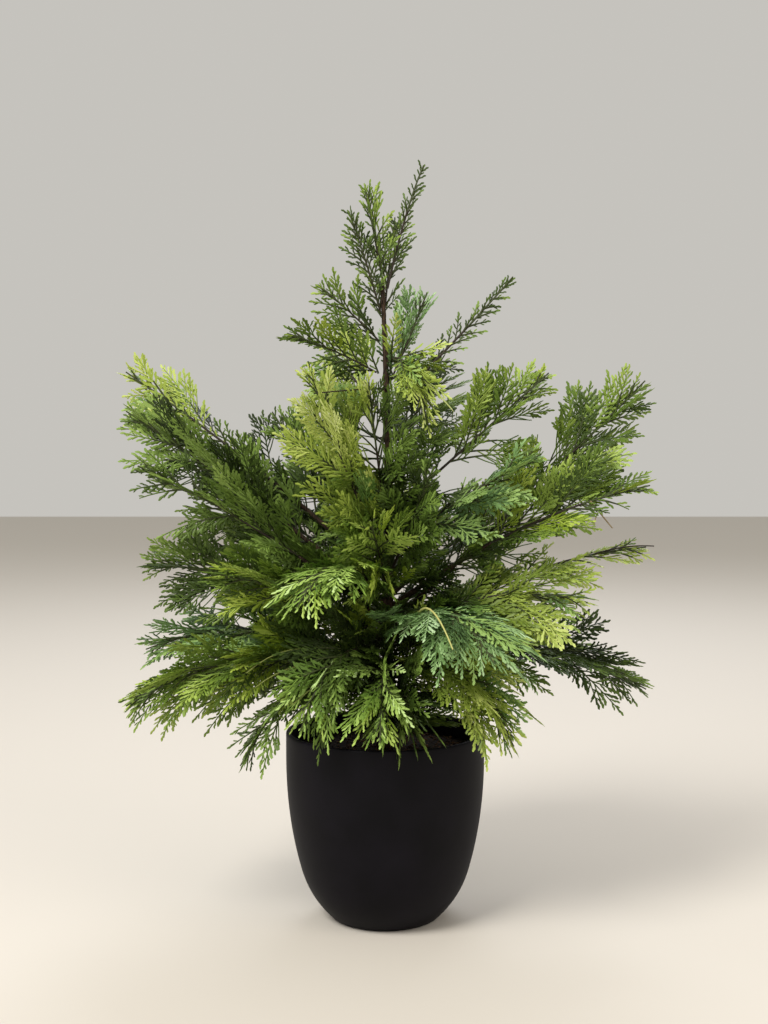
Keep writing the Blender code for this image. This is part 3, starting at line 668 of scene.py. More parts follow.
def grow_spray(number, chance, root, direction, normal, length, curl, droop, shade, tip):
    side = normal.cross(direction).normalized()
    steps = max(3, round(length / SPRAY_STEP))
    line = bent(root, direction, side, length, curl, droop, spaced(0, 1, steps + 1))
    woody = max(1, round(SPRAY_WOODY * len(line)))
    radii = spaced(SPRAY_RADIUS, SPRAY_TIP_RADIUS, len(line))
    twigs.append((line[: woody + 1], radii[: woody + 1], "young"))
    shoots.append((number, line[woody:], radii[woody:], shade))
    run, hand = SHOOT_START, chance.choice((1, -1))
    while run < length - SHOOT_END:
        share = run / length
        shares = [share, min(1, share + LOOK_AHEAD)]
        place, ahead = bent(root, direction, side, length, curl, droop, shares)
        forward = (ahead - place).normalized()
        angle = SHOOT_ANGLE + (SHOOT_ANGLE_TIP - SHOOT_ANGLE) * share
        angle = math.radians(angle + chance.uniform(-SHOOT_SWING, SHOOT_SWING))
        swell = math.sin(math.pi * (SPRAY_SWELL[0] + SPRAY_SWELL[1] * share))
        reach = SPRAY_WIDTH / 2 * length * swell / math.sin(angle) * chance.uniform(*SHOOT_VARIATION)
        reach = min(reach, (length - run) * SHOOT_LIMIT[0] + SHOOT_LIMIT[1])
        reach *= 1 - TIP_TAPER * max(0, share - TAPER_FROM)
        plane = (normal + side * chance.uniform(-SHOOT_TWIST, SHOOT_TWIST)).normalized()
        heading = aslant(forward, side, hand * angle).normalized()
        inner = plane.cross(heading).normalized() * hand
        newer = share > NEWER_FROM and chance.random() < NEWER
        if chance.random() > SKIPPED:
            tone = lighter(shade) if newer else shade
            grow_shoot(number, chance, place, heading, inner, plane, max(reach, SHOOT_SHORTEST), tone)
        run += SHOOT_PITCH * chance.uniform(*UNEVEN)
        hand = -hand
    start = line[-1] - (line[-1] - line[-2]).normalized() * TIP_BRANCHLET_FROM
    branchlets.append((number, start, line[-1] - line[-2], normal, tip, lighter(shade)))


# The crown is open in places between its boughs, and no spray grows into these openings. A row gives x, z,
# half width, half height and lean in degrees. They widen towards the back, as seen from the height of the
# upper crown in front.
OPENING_HEIGHT = 0.4146
OPENING_SPREAD = 1.225
OPENING_GRAIN = 0.011  # of its ragged edge
OPENING_RAGGED = 0.6
OPENINGS = (
    (0.057, 0.381, 0.0090, 0.0220, 14),
    (0.083, 0.393, 0.0160, 0.0120, -62),
    (0.109, 0.420, 0.0215, 0.0100, 0),
    (0.141, 0.405, 0.0075, 0.0130, 0),
    (0.126, 0.340, 0.0100, 0.0105, 0),
    (0.101, 0.341, 0.0035, 0.0085, 0),
    (0.066, 0.308, 0.0095, 0.0170, -30),
    (0.107, 0.308, 0.0060, 0.0064, 0),
    (0.120, 0.319, 0.0064, 0.0035, 0),
    (0.154, 0.315, 0.0085, 0.0136, 70),
    (0.161, 0.352, 0.0085, 0.0075, 0),
    (0.134, 0.287, 0.0060, 0.0055, 0),
    (0.131, 0.274, 0.0036, 0.0036, 0),
    (0.090, 0.340, 0.0030, 0.0064, 0),
    (-0.011, 0.410, 0.0115, 0.0250, 0),
    (-0.065, 0.355, 0.0072, 0.0068, 0),
    (-0.096, 0.401, 0.0070, 0.0085, 0),
    (-0.071, 0.330, 0.0090, 0.0060, 40),
    (-0.141, 0.326, 0.0050, 0.0040, 0),
    (-0.145, 0.351, 0.0045, 0.0035, 0),
    (-0.170, 0.375, 0.0060, 0.0130, 20),
    (-0.122, 0.256, 0.0065, 0.0068, 0),
    (-0.153, 0.271, 0.0050, 0.0065, 60),
    (-0.143, 0.266, 0.0030, 0.0050, 0),
    (-0.092, 0.162, 0.0064, 0.0051, 0),
    (-0.203, 0.344, 0.0280, 0.0150, 12),
    (-0.137, 0.442, 0.0300, 0.0125, 45),
    (0.210, 0.340, 0.0240, 0.0130, 0),
    (0.208, 0.282, 0.0230, 0.0210, 0),
)
STATIONS = 12  # places along a spray that are looked at
END_STATIONS = 3  # a spray ends this many places before an opening


def in_opening(points):
    """Which points lie in an opening of the crown."""
    spread = 1 + points[:, 1] / OPENING_SPREAD
    across, height = points[:, 0] / spread, OPENING_HEIGHT + (points[:, 2] - OPENING_HEIGHT) / spread
    ragged = np.array([noise.noise(Vector(point) / OPENING_GRAIN) for point in points])
    inside = np.zeros(len(points), bool)
    for x, z, half_width, half_height, lean in OPENINGS:
        lean = math.radians(lean)
        right, up = across - x, height - z
        wide = (right * math.cos(lean) - up * math.sin(lean)) / half_width
        high = (right * math.sin(lean) + up * math.cos(lean)) / half_height
        inside |= np.sqrt(wide**2 + high**2) < 1 + OPENING_RAGGED * ragged
    return inside


def before_opening(root, direction, normal, length, curl, droop):
    """The length of a spray, less its end where that lies in an opening or only just beyond it."""
    side = normal.cross(direction).normalized()
    shares = spaced(0, 1, STATIONS)
    opened = in_opening(np.array(bent(root, direction, side, length, curl, droop, shares)))
    end = STATIONS - 1
    while opened[max(0, end - END_STATIONS) : end + 1].any() and end > 0:
        end -= 1
    return length * shares[end]


# The sprays of a limb grow by turns on either side of its thin brown stem, longest in its inner half, and
# droop a little. They keep clear of the wood and the pot, and each limb keeps to its own space.
SPRAY_PITCH = 0.0047
SPRAY_ANGLE = 38
SPRAY_ANGLE_TIP = 25
SPRAY_SWING = 6
SPRAY_WOBBLE = 62
ROUND_WOBBLE = 110  # for a limb that grows towards or away from the front
ROUND_FROM = 1.5
SPRAY_LONGEST = 0.080
SPRAY_SHARE = 0.85  # of the CAD's side sprays, whose tips are drawn wider than life
SPRAY_END = 0.96  # of the limb
SPRAY_CURL = (-0.04, 0.16)
SPRAY_TILT = 0.30  # of its plane
SPRAY_DROOP = 0.10
SPRAY_VARIATION = 0.22
SPRAY_TIP = 0.011
INNER_FULLNESS = 0.30
SHORTEST_SHARE = 0.50
SHORTEST_SPRAY = 0.012
WIDE_LIMB = 0.036  # half width from which the sprays stand at full pitch
LEAST_PITCH = 0.5  # of it, on the narrowest limbs
LEAST_BARE = 0.05
LEAFY_FROM = 0.52  # of a limb's bare share; the first short sprays grow on the end of the bough
FLAT_FANS = ("front_fan", "front_left_fan")  # their sprays keep to one level plane
FAN_WOBBLE = 20
FAN_DROOP = 0.34
HANGING_BELOW = 0.195  # the limbs whose tips are lower bear more sprays, and these hang over the rim
HANGING_DROOP = 0.22
HANGING_PITCH = 0.72
TURNS = (0, 25, -25, 50, -50)
SHORTENING = (1.0, 0.8, 0.62, 0.46)
MINGLING = 0.020  # how far a spray may reach into its neighbour's space
WOOD_GAP = 0.0012
RIM_GAP = 0.003
REACH_GAP = 0.004  # how far a side spray may pass the limb's tip, away from the trunk
ROUND_REACH_GAP = 0.020
PAST_TIP = 0.001  # how far it may pass the tip along the limb
LOOKED_AT = (0.25, 0.5, 0.75, 1)  # the shares of a spray that need room
OWN_SPACE_FROM = 0.08  # of a limb
LINE_POINTS, TRUNK_POINTS, BOUGH_POINTS = 24, 160, 40  # from which the room is measured
BLOCK = 4000  # points measured at a time
SPARSE = {  # shorter sprays that stand further apart
    "crest_right": 0.62,
    "crest_left": 0.85,
    "crest_leader": 0.88,
    "crest_back": 0.84,
    "upper_left_tip": 0.84,
    "upper_left": 0.88,
    "upper_right_long": 0.60,
    "right_thin": 0.72,
}
WIDER_SPACED = {  # sprays of full length that stand further apart
    "right_high": 0.74,
    "right_end": 0.76,
    "right_mid": 0.82,
    "right_front": 0.84,
    "left_high": 0.84,
    "left_mid": 0.78,
    "left_broad": 0.80,
}
# Painted shade: on the inner part of these limbs the sprays take the green of a darker neighbour.
PAINTED_SHADE_INSIDE = {  # whose green the sprays of a limb take up to this share
    "left_high": ("left_mid", 0.68),
    "upper_back_right": ("back_left_mid", 0.86),
    "front_left_hang": ("left_rim", 0.62),
    "front_rim": ("front_low", 0.44),
}
DARKER_RIGHT = {"front_tall": "front_inner"}  # whose green its sprays take where they turn to the right
# Painted shade: the sprays near the trunk take the darker tones, and those further out the lighter ones.
INNER_SHARE = 0.4
SHADED_INNER_WEIGHTS = (5, 4, 1, 0, 2, 0)  # of the six tones
LIGHTER_OUTER_WEIGHTS = (2, 5, 3, 0, 1.5, 0)
SHADE_WEIGHTS = {  # where a limb is paler or duller than others of its kind
    "left_high": (2, 6, 2, 0, 3, 1),
    "right_front": (4, 5, 0, 0, 3, 0),
    "left_mid": (1, 4, 5, 3, 1, 1),
    "left_broad": (1, 4, 5, 3, 2, 1),
    "left_upright": (2, 4, 4, 2, 2, 1),
    "right_inner": (1, 2, 0, 0, 6, 3),
    "left_low": (3, 2, 0, 0, 4, 1),
    "front_fan": (1, 4, 4, 1, 0, 1),
    "front_mid": (0, 3, 4, 2, 2, 1),
    "front_left_hang": (5, 4, 2, 1, 2, 0),
    "front_rim": (4, 4, 2, 1, 2, 0),
    "front_right_rim": (5, 4, 1, 0, 2, 0),
}
STEM_RADIUS = 0.0014
STEM_TIP_RADIUS = 0.0006
STEM_THINNEST = 0.6
STEM_FULL = 0.16  # length of a limb whose stem has the full radius
STEM_STEP = 0.006
STEM_POINTS = 8  # at least
STEM_REACH = 0.80
STEM_BROWN = 0.55
LEAFY_STEM = (0.55, 0.97)  # of the limb; the young stem there bears branchlets of its own
LEAFY_STEM_LENGTHS = (0.006, 0.010)
LEAFY_STEM_SWING = 14
LEAFY_STEM_UNEVEN = (0.9, 1.3)
TIP_SPRAY_FROM = 0.86
TIP_SPRAY_FACE = 0.95  # the share of the limb that gives its plane
TIP_SPRAY_TIP = 0.010

leafy_lines = [spaced(max(OWN_SPACE_FROM, limb.bare), 1, LINE_POINTS) for limb in limbs]
leafy_lines = np.array([[limb.at(share) for share in shares] for limb, shares in zip(limbs, leafy_lines)])
half_widths = np.array([limb.half_width for limb in limbs])
wood_heights = spaced(MIX_CROWN, TRUNK_TIP, TRUNK_POINTS)
wood = [trunk_place(h) for h in wood_heights]
wood_radii = [trunk_radius(h) for h in wood_heights]
for limb in limbs:
    if limb.bare > BOUGH_FROM:
        wood += [limb.at(share) for share in spaced(0, limb.bare, BOUGH_POINTS)]
        wood_radii += spaced(BOUGH_RADIUS, BOUGH_TIP_RADIUS, BOUGH_POINTS)
wood, wood_radii = np.array(wood), np.array(wood_radii)
limb_names = [limb.name for limb in limbs]


def clear_of_wood(points):
    """Which points stay clear of trunk, boughs and pot."""
    apart = np.full(len(points), 1.0)
    for first in range(0, len(points), BLOCK):
        block = points[first : first + BLOCK]
        distance = np.linalg.norm(block[:, None] - wood, axis=-1) - wood_radii
        apart[first : first + BLOCK] = distance.min(axis=1)
    out = np.hypot(points[:, 0], points[:, 1]) > POT_RADIUS + RIM_GAP
    over = points[:, 2] > POT_HEIGHT + RIM_GAP
    return (apart > WOOD_GAP) & (out | over)


def in_own_space(number, points):
    """Whether points keep to one limb's space, give or take the mingling."""
    starts = leafy_lines[:, :-1]
    steps = leafy_lines[:, 1:] - starts
    reach = points[:, None, None] - starts
    share = np.clip((reach * steps).sum(-1) / (steps**2).sum(-1), 0, 1)
    distance = np.linalg.norm(reach - share[..., None] * steps, axis=-1).min(-1)
    own, width = distance[:, number, None], half_widths[number]
    margin = (distance * width - own * half_widths) / (half_widths + width)
    margin[:, number] = 1
    return bool((margin > -MINGLING).all())


def side_spray(limb, share, turn, angle, tilt):
    """Root, direction and face of a side spray."""
    along = limb.along(share)
    across = Quaternion(along, turn) @ limb.sideways(share)
    normal = (along.cross(across) + across * tilt).normalized()
    return limb.at(share), aslant(along, across, angle), normal


def fitting_spray(number, share, turn, angle, tilt, length, droop, most_reach):
    """The longest side spray that finds room, as root, direction, face and length, or None."""
    for shortening in SHORTENING:
        shorter = length * shortening
        if shorter < SHORTEST_SPRAY:
            return None
        for more in TURNS:
            spray = side_spray(limbs[number], share, turn + math.radians(more), angle, tilt)
            points = np.array(bent(*spray, shorter, 0, droop, LOOKED_AT))
            near = np.hypot(points[:, 0], points[:, 1]).max() <= most_reach
            if near and clear_of_wood(points).all() and in_own_space(number, points):
                return *spray, shorter
    return None


def grow_side_sprays(number, limb, chance):
    leafy = max(limb.bare * LEAFY_FROM, LEAST_BARE)
    wobble = SPRAY_WOBBLE if abs(limb.end.x) > abs(limb.end.y) * ROUND_FROM else ROUND_WOBBLE
    droop = SPRAY_DROOP
    if limb.name in FLAT_FANS:
        wobble, droop = FAN_WOBBLE, FAN_DROOP
    side = 0 if chance.random() < 0.5 else math.pi
    sparse = SPARSE.get(limb.name, 1)
    pitch = SPRAY_PITCH * min(1, max(LEAST_PITCH, limb.half_width / WIDE_LIMB)) / sparse
    pitch /= WIDER_SPACED.get(limb.name, 1)
    if limb.end.z < HANGING_BELOW:
        pitch *= HANGING_PITCH
        droop = HANGING_DROOP
    count = round(limb.length * (SPRAY_END - leafy) / pitch)
    most_reach = math.hypot(limb.end.x, limb.end.y)
    most_reach += REACH_GAP if wobble == SPRAY_WOBBLE else ROUND_REACH_GAP
    for i in range(count):
        share = leafy + (SPRAY_END - leafy) * (i + 0.5) / count
        part = min(1, max(0, (share - leafy) / (STEM_REACH - leafy)))
        turn = side + i * math.pi + math.radians(wobble) * chance.uniform(-1, 1)
        angle = SPRAY_ANGLE + (SPRAY_ANGLE_TIP - SPRAY_ANGLE) * part
        angle = math.radians(angle + chance.uniform(-SPRAY_SWING, SPRAY_SWING))
        swell = math.sin(math.pi * (INNER_FULLNESS + (1 - INNER_FULLNESS) * part))
        fullness = SHORTEST_SHARE + (1 - SHORTEST_SHARE) * swell
        fullness *= 1 + SPRAY_VARIATION * chance.uniform(-1, 1)
        length = min(SPRAY_LONGEST, SPRAY_SHARE * limb.half_width / math.sin(angle) * fullness) * sparse
        length = min(length, ((1 - share) * limb.length + PAST_TIP) / math.cos(angle))
        # painted shade: the tone's weights darken the sprays near the trunk
        owner, weights = number, (SHADED_INNER_WEIGHTS if part < INNER_SHARE else LIGHTER_OUTER_WEIGHTS)
        # painted shade: the inner sprays of these limbs take a darker neighbour's green
        if limb.name in PAINTED_SHADE_INSIDE and share < PAINTED_SHADE_INSIDE[limb.name][1]:
            owner = limb_names.index(PAINTED_SHADE_INSIDE[limb.name][0])
        else:
            weights = SHADE_WEIGHTS.get(limb.name, weights)
        shade = chance.choices(range(6), weights)[0]
        tilt = chance.uniform(-SPRAY_TILT, SPRAY_TILT)
        fitted = fitting_spray(number, share, turn, angle, tilt, length, droop, most_reach)
        if not fitted:
            continue
        root, direction, normal, length = fitted
        curl = chance.uniform(*SPRAY_CURL)
        length = before_opening(root, direction, normal, length, curl, droop)
        if limb.name in DARKER_RIGHT and direction.x > 0:
            owner = limb_names.index(DARKER_RIGHT[limb.name])
        if length > SHORTEST_SPRAY:
            grow_spray(owner, chance, root, direction, normal, length, curl, droop, shade, SPRAY_TIP)


def grow_stem(number, limb, chance):
    """The stem that carries the sprays, with the branchlets on its young part and the spray at its tip."""
    count = max(STEM_POINTS, round(limb.length * (1 - limb.bare) / STEM_STEP))
    stem = [limb.at(share) for share in spaced(limb.bare, 1, count)]
    thickness = STEM_RADIUS * min(1, max(STEM_THINNEST, limb.length / STEM_FULL))
    radii = spaced(thickness, STEM_TIP_RADIUS, count)
    turn_green = round(STEM_BROWN * count)
    twigs.append((stem[: turn_green + 1], radii[: turn_green + 1], "stem"))
    twigs.append((stem[turn_green:], radii[turn_green:], "young"))
    run, hand = LEAFY_STEM[0] * limb.length, 1
    while run < LEAFY_STEM[1] * limb.length:
        share = run / limb.length
        along, across = limb.along(share), limb.sideways(share)
        angle = math.radians(BRANCHLET_ANGLE + chance.uniform(0, LEAFY_STEM_SWING))
        heading = aslant(along, across, hand * angle)
        reach = chance.uniform(*LEAFY_STEM_LENGTHS)
        branchlets.append((number, limb.at(share), heading, along.cross(across) * hand, reach, 1))
        run += BRANCHLET_PITCH * chance.uniform(*LEAFY_STEM_UNEVEN)
        hand = -hand
    tip = limb.at(TIP_SPRAY_FROM)
    direction = (limb.at(1) - tip).normalized()
    normal = direction.cross(limb.sideways(TIP_SPRAY_FACE)).normalized()
    reach = (limb.end - tip).length
    grow_spray(number, chance, tip, direction, normal, reach, 0, SPRAY_DROOP, 1, TIP_SPRAY_TIP)


for number, limb in enumerate(limbs):
    grow_side_sprays(number, limb, limb.random)
    grow_stem(number, limb, limb.random)


# Short inner sprays grow on the trunk itself, first in front of it and beside it, then behind it. Low down
# they stay nearly level, over the pot's rim.
TRUNK_SPRAYS = 120
BACK_SPRAYS = 52
TRUNK_SPRAY_HEIGHTS = (0.170, 0.41)
TRUNK_SPRAY_LENGTHS = (0.036, 0.070)
TRUNK_SPRAY_ROLL = 70
GATHERED_LOW = 1.2
FRONT, BACK = 276, 96  # bearings
SPREAD_ROUND = 78
ROUND_STEP = 2.4
ROUND_SWING = 12
LOW_BELOW = 0.2
LOW_RISES, RISES = (4, 14), (-8, 42)
LOW_SAG, SAG = 0.05, 0.16
SHORT_CURL = 0.05
SHORT_TIP = 0.010
ROOT_DEPTH = 0.7  # of the trunk's radius
inner_limbs = [limb_names.index(name) for name in ("front_inner", "front_low", "front_mid")]
outer_limbs = [limb_names.index(name) for name in ("back_low", "back_left_mid", "back_right_mid")]
chance = random.Random(77)
for i in range(TRUNK_SPRAYS + BACK_SPRAYS):
    behind = i >= TRUNK_SPRAYS
    share = ((i + 0.5) / TRUNK_SPRAYS) ** GATHERED_LOW
    if behind:
        share = (i - TRUNK_SPRAYS + 0.5) / BACK_SPRAYS
    height = TRUNK_SPRAY_HEIGHTS[0] + (TRUNK_SPRAY_HEIGHTS[1] - TRUNK_SPRAY_HEIGHTS[0]) * share
    turn = (BACK if behind else FRONT) + SPREAD_ROUND * math.sin(ROUND_STEP * i)
    turn = math.radians(turn + chance.uniform(-ROUND_SWING, ROUND_SWING))
    low = height < LOW_BELOW
    rise = math.radians(chance.uniform(*(LOW_RISES if low else RISES)))
    out_from = Vector((math.cos(turn), math.sin(turn), 0))
    up = Vector((0, 0, 1))
    direction = aslant(out_from, up, rise)
    roll = math.radians(chance.uniform(-TRUNK_SPRAY_ROLL, TRUNK_SPRAY_ROLL))
    normal = Quaternion(direction, roll) @ aslant(up, out_from, -rise)
    length = chance.uniform(*TRUNK_SPRAY_LENGTHS)
    root = trunk_place(height) + out_from * (trunk_radius(height) * ROOT_DEPTH)
    shade = chance.choice((0, 1, 1, 2))
    sag = LOW_SAG if low else SAG
    length = before_opening(root, direction, normal, length, SHORT_CURL, sag)
    if length > SHORTEST_SPRAY:
        owner = chance.choice(outer_limbs if behind else inner_limbs)
        grow_spray(owner, chance, root, direction, normal, length, SHORT_CURL, sag, shade, SHORT_TIP)


# Short dark sprays grow on the bare boughs at the right. They lean to the front and hide the boughs, as on
# the real plant.
SCREENED_BOUGHS = ("right_high", "right_end", "right_thin", "right_front")
BOUGH_SPRAYS = 44
BOUGH_SPRAY_SHARES = (0.06, 0.32)
BOUGH_SPRAY_LENGTHS = (0.030, 0.054)
BOUGH_SPRAY_ROLL = 60
OUTWARDS, FORWARDS, UPWARDS = (0.2, 1.0), (0.5, 1.0), (-0.5, 0.6)
for i in range(BOUGH_SPRAYS):
    limb = limbs[limb_names.index(chance.choice(SCREENED_BOUGHS))]
    share = chance.uniform(*BOUGH_SPRAY_SHARES)
    direction = limb.along(share) * chance.uniform(*OUTWARDS)
    direction += Vector((0, -1, 0)) * chance.uniform(*FORWARDS)
    direction = (direction + Vector((0, 0, chance.uniform(*UPWARDS)))).normalized()
    roll = math.radians(chance.uniform(-BOUGH_SPRAY_ROLL, BOUGH_SPRAY_ROLL))
    normal = Quaternion(direction, roll) @ direction.orthogonal().normalized()
    length = chance.uniform(*BOUGH_SPRAY_LENGTHS)
    root = limb.at(share)
    length = before_opening(root, direction, normal, length, SHORT_CURL, SPRAY_DROOP)
    if length > SHORTEST_SPRAY:
        owner = chance.choice(inner_limbs)
        grow_spray(owner, chance, root, direction, normal, length, SHORT_CURL, SPRAY_DROOP, 0, SHORT_TIP)


# What would stand in an opening or in the wood is left out: a branchlet as a whole, and the end of a shoot as
# far as it holds no branchlet.
HELD_WITHIN = 0.005  # a shoot in an opening goes on as far as it has branchlets this near
OPEN_AT = (0.15, 0.5, 1.0)  # along a branchlet
CLEAR_FROM = 0.2  # the foot of a branchlet may touch the wood
kept = np.ones(len(branchlets), bool)
for reach in OPEN_AT:
    ends = [place + along.normalized() * (length * reach) for _, place, along, _, length, _ in branchlets]
    ends = np.array(ends)
    kept &= ~in_opening(ends)
    if reach > CLEAR_FROM:
        kept &= clear_of_wood(ends)
branchlets = [branchlet for branchlet, keep in zip(branchlets, kept) if keep]
held = KDTree(len(branchlets))
for index, branchlet in enumerate(branchlets):
    held.insert(branchlet[1], index)
held.balance()
whole_shoots, shoots = shoots, []
for number, line, radii, shade in whole_shoots:
    opened = in_opening(np.array(line))
    last = len(line)
    while last > 1 and opened[last - 1] and not held.find_range(line[last - 1], HELD_WITHIN):
        last -= 1
    if last > 1:
        shoots.append((number, line[:last], radii[:last], shade))


# A branchlet is flat, under scale leaves in four rows, with lobes by turns that sweep forward. Its copies
# bear all the green of the plant. It is 1 long, and a lobe is its side, start, reach along and reach across.
SPINE_HALF = 0.045
RIDGE = 0.6
RIDGE_LEAN = 0.9  # an outline point joins the crest nearest to this much of its own reach along
FULL_RIDGE, SHORT_RIDGE = (0.22, 0.62), (0.45,)  # places of the crests
FULL_LOBES = (
    (-1, 0.06, 0.44, 0.105),
    (1, 0.22, 0.62, 0.125),
    (-1, 0.38, 0.78, 0.120),
    (1, 0.56, 0.92, 0.095),
)
SHORT_LOBES = (
    (-1, 0.08, 0.58, 0.14),
    (1, 0.28, 0.82, 0.14),
)
LOBED_FROM = 0.0070  # a shorter branchlet has fewer lobes
BRANCHLET_THICKNESS = 0.0012


def branchlet_shape(name, lobes, ridge):
    """A branchlet 1 long, with its lobes and a ridge on top that has its crests at the places given."""
    sides = {1: [], -1: []}
    for hand, start, along, across in lobes:
        sides[hand] += [(start, hand * SPINE_HALF), (along, hand * across)]
    outline = [(0, 0)] + sides[-1] + [(1, 0)] + sides[1][::-1]
    shape = bmesh.new()
    ring = [shape.verts.new((x, y, 0)) for x, y in outline]
    shape.faces.new(ring[::-1])
    spine = [shape.verts.new((x, 0, RIDGE)) for x in ridge]
    nearest = [min(spine, key=lambda crest: abs(crest.co.x - vert.co.x * RIDGE_LEAN)) for vert in ring]
    for k, vert in enumerate(ring):
        ahead = ring[(k + 1) % len(ring)]
        near, then = nearest[k], nearest[(k + 1) % len(ring)]
        shape.faces.new((vert, ahead, near))
        if near is not then:
            shape.faces.new((ahead, then, near))
    bmesh.ops.triangulate(shape, faces=shape.faces, ngon_method="EAR_CLIP")
    bmesh.ops.recalc_face_normals(shape, faces=shape.faces)
    mesh = bpy.data.meshes.new(name)
    shape.to_mesh(mesh)
    shape.free()
    return bpy.data.objects.new(name, mesh)


full_branchlet = branchlet_shape("branchlet_full", FULL_LOBES, FULL_RIDGE)
short_branchlet = branchlet_shape("branchlet_short", SHORT_LOBES, SHORT_RIDGE)


# The green of a limb: copies of the two branchlets on points, and tubes along the shoots, each in its tone.
# The limbs of one kind of green are joined into pieces.
TONES = 6
LEAF_SHADES = {
    "bright": ("#6C802C", "#93A644", "#B3C166", "#CBD68A", "#607E3A", "#8FA95A"),
    "green": ("#3B4F18", "#566E24", "#768E36", "#98AE50", "#7A9028", "#A0B44A"),
    "dark": ("#26350F", "#3A4D19", "#556C29", "#779142", "#60782E", "#809848"),
    "glaucous": ("#456034", "#67874E", "#8CAC72", "#AECA9A", "#5E7C38", "#88A65A"),
    "pale": ("#56722A", "#78963E", "#98B45A", "#B4CE84", "#78922E", "#9EB656"),
}
MOST_TRIANGLES = 180000
SHOOT_SIDES = 3
FULL_COST, SHORT_COST = 22, 12  # triangles of a branchlet
TUBE_COST, CAPS_COST = 6, 2  # triangles of a tube, for each of its points and for its ends


def tubes_along(tree, lines, sides):
    """Tubes along the lines of a mesh, as thick as its points say."""
    settings = {"data_type": "FLOAT", "Name": "thick"}
    thick = add_node(tree, "GeometryNodeInputNamedAttribute", settings, {})
    curves = add_node(tree, "GeometryNodeMeshToCurve", {}, {"Mesh": lines})
    ring = add_node(tree, "GeometryNodeCurvePrimitiveCircle", {"Radius": 1.0}, {"Resolution": sides})
    links = {"Curve": curves.outputs["Curve"], "Profile Curve": ring.outputs["Curve"]}
    links["Scale"] = thick.outputs["Attribute"]
    return add_node(tree, "GeometryNodeCurveToMesh", {"Fill Caps": True}, links).outputs["Mesh"]


sockets = [("Full", "NodeSocketObject"), ("Short", "NodeSocketObject"), ("Sides", "NodeSocketInt")]
sockets += [("Shade %d" % k, "NodeSocketMaterial") for k in range(TONES)]
leafy, entry, out = new_tree("leafy_shoots", sockets)
marked, rest = entry["Geometry"], []
for mark in ("loose", "full"):
    settings = {"data_type": "BOOLEAN", "Name": mark}
    carried = add_node(leafy, "GeometryNodeInputNamedAttribute", settings, {})
    links = {"Geometry": marked, "Selection": carried.outputs["Attribute"]}
    parted = add_node(leafy, "GeometryNodeSeparateGeometry", {"domain": "POINT"}, links)
    marked = parted.outputs["Selection"]
    rest.append(parted.outputs["Inverted"])
lines, short = rest
copies = [placing(leafy, marked, entry["Full"]), placing(leafy, short, entry["Short"])]
made = add_node(leafy, "GeometryNodeJoinGeometry", {}, {})
for part in copies + [tubes_along(leafy, lines, entry["Sides"])]:
    leafy.links.new(part, made.inputs["Geometry"])
shade = add_node(leafy, "GeometryNodeInputNamedAttribute", {"data_type": "INT", "Name": "shade"}, {})
for k in range(TONES):
    same = add_node(leafy, "FunctionNodeCompare", {"data_type": "INT", "operation": "EQUAL"}, {})
    leafy.links.new(shade.outputs["Attribute"], same.inputs[2])  # its first whole number
    same.inputs[3].default_value = k  # its second
    links = {"Geometry": made.outputs["Geometry"], "Selection": same.outputs["Result"]}
    links["Material"] = entry["Shade %d" % k]
    made = add_node(leafy, "GeometryNodeSetMaterial", {}, links)
leafy.links.new(made.outputs["Geometry"], out.inputs["Geometry"])


def leafy_guide(name, own_branchlets, own_lines):
    """A mesh of branchlet points and of the lines of the shoots, with what the tree reads from them."""
    rows = [
        (place, along, face, (length, length, BRANCHLET_THICKNESS), shade, 0, True, length >= LOBED_FROM)
        for _, place, along, face, length, shade in own_branchlets
    ]
    edges = []
    ahead, up, even = Vector((1, 0, 0)), Vector((0, 0, 1)), (1, 1, 1)
    for _, line, radii, shade in own_lines:
        edges += [(len(rows) + i, len(rows) + i + 1) for i in range(len(line) - 1)]
        rows += [(point, ahead, up, even, shade, thick, False, False) for point, thick in zip(line, radii)]
    *basics, thick, loose, full = zip(*rows)
    mesh = points_mesh(name, *basics)
    mesh.edges.add(len(edges))
    mesh.edges.foreach_set("vertices", np.array(edges, np.int32).ravel())
    carry(mesh, "thick", "FLOAT", thick)
    carry(mesh, "loose", "BOOLEAN", loose)
    carry(mesh, "full", "BOOLEAN", full)
    return mesh


def grouped(tone):
    """The numbers of the limbs of one green, in groups of which none has too many triangles for a piece."""
    groups, weight = [[]], 0
    for number, limb in enumerate(limbs):
        if limb.tone != tone:
            continue
        own = sum(FULL_COST if row[4] >= LOBED_FROM else SHORT_COST for row in branchlets if row[0] == number)
        own += sum(TUBE_COST * len(shoot[1]) + CAPS_COST for shoot in shoots if shoot[0] == number)
        if groups[-1] and weight + own > MOST_TRIANGLES:
            groups.append([])
            weight = 0
        groups[-1].append(number)
        weight += own
    return groups


# Living scale leaves: a waxy satin green. The tones run from dark to light: the dark ones are painted shade
# for the sprays deep in the crown, and the light ones are the new growth at the tips. The last two are those
# of a neighbour, which some sprays of every kind take.
for tone, colours in LEAF_SHADES.items():
    values = {"Full": full_branchlet, "Short": short_branchlet, "Sides": SHOOT_SIDES}
    for k, colour in enumerate(colours):
        finish = {"Base Color": linear(colour), "Roughness": 0.5, "IOR": 1.45, "Specular IOR Level": 0.35}
        values["Shade %d" % k] = new_material("scale_leaves_%s_%d" % (tone, k), finish)[0]
    for k, group in enumerate(grouped(tone)):
        name = "leaves_%s_%d" % (tone, k + 1)
        own_branchlets = [branchlet for branchlet in branchlets if branchlet[0] in group]
        own_lines = [shoot for shoot in shoots if shoot[0] in group]
        guide = new_object(name + "_guide", leafy_guide(name, own_branchlets, own_lines))
        leaves = new_object(name, grown(guide, leafy, values))
        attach(leaves, "root")
        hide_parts(*["foliage_" + limbs[number].name for number in group])
bpy.data.objects.remove(full_branchlet)
bpy.data.objects.remove(short_branchlet)


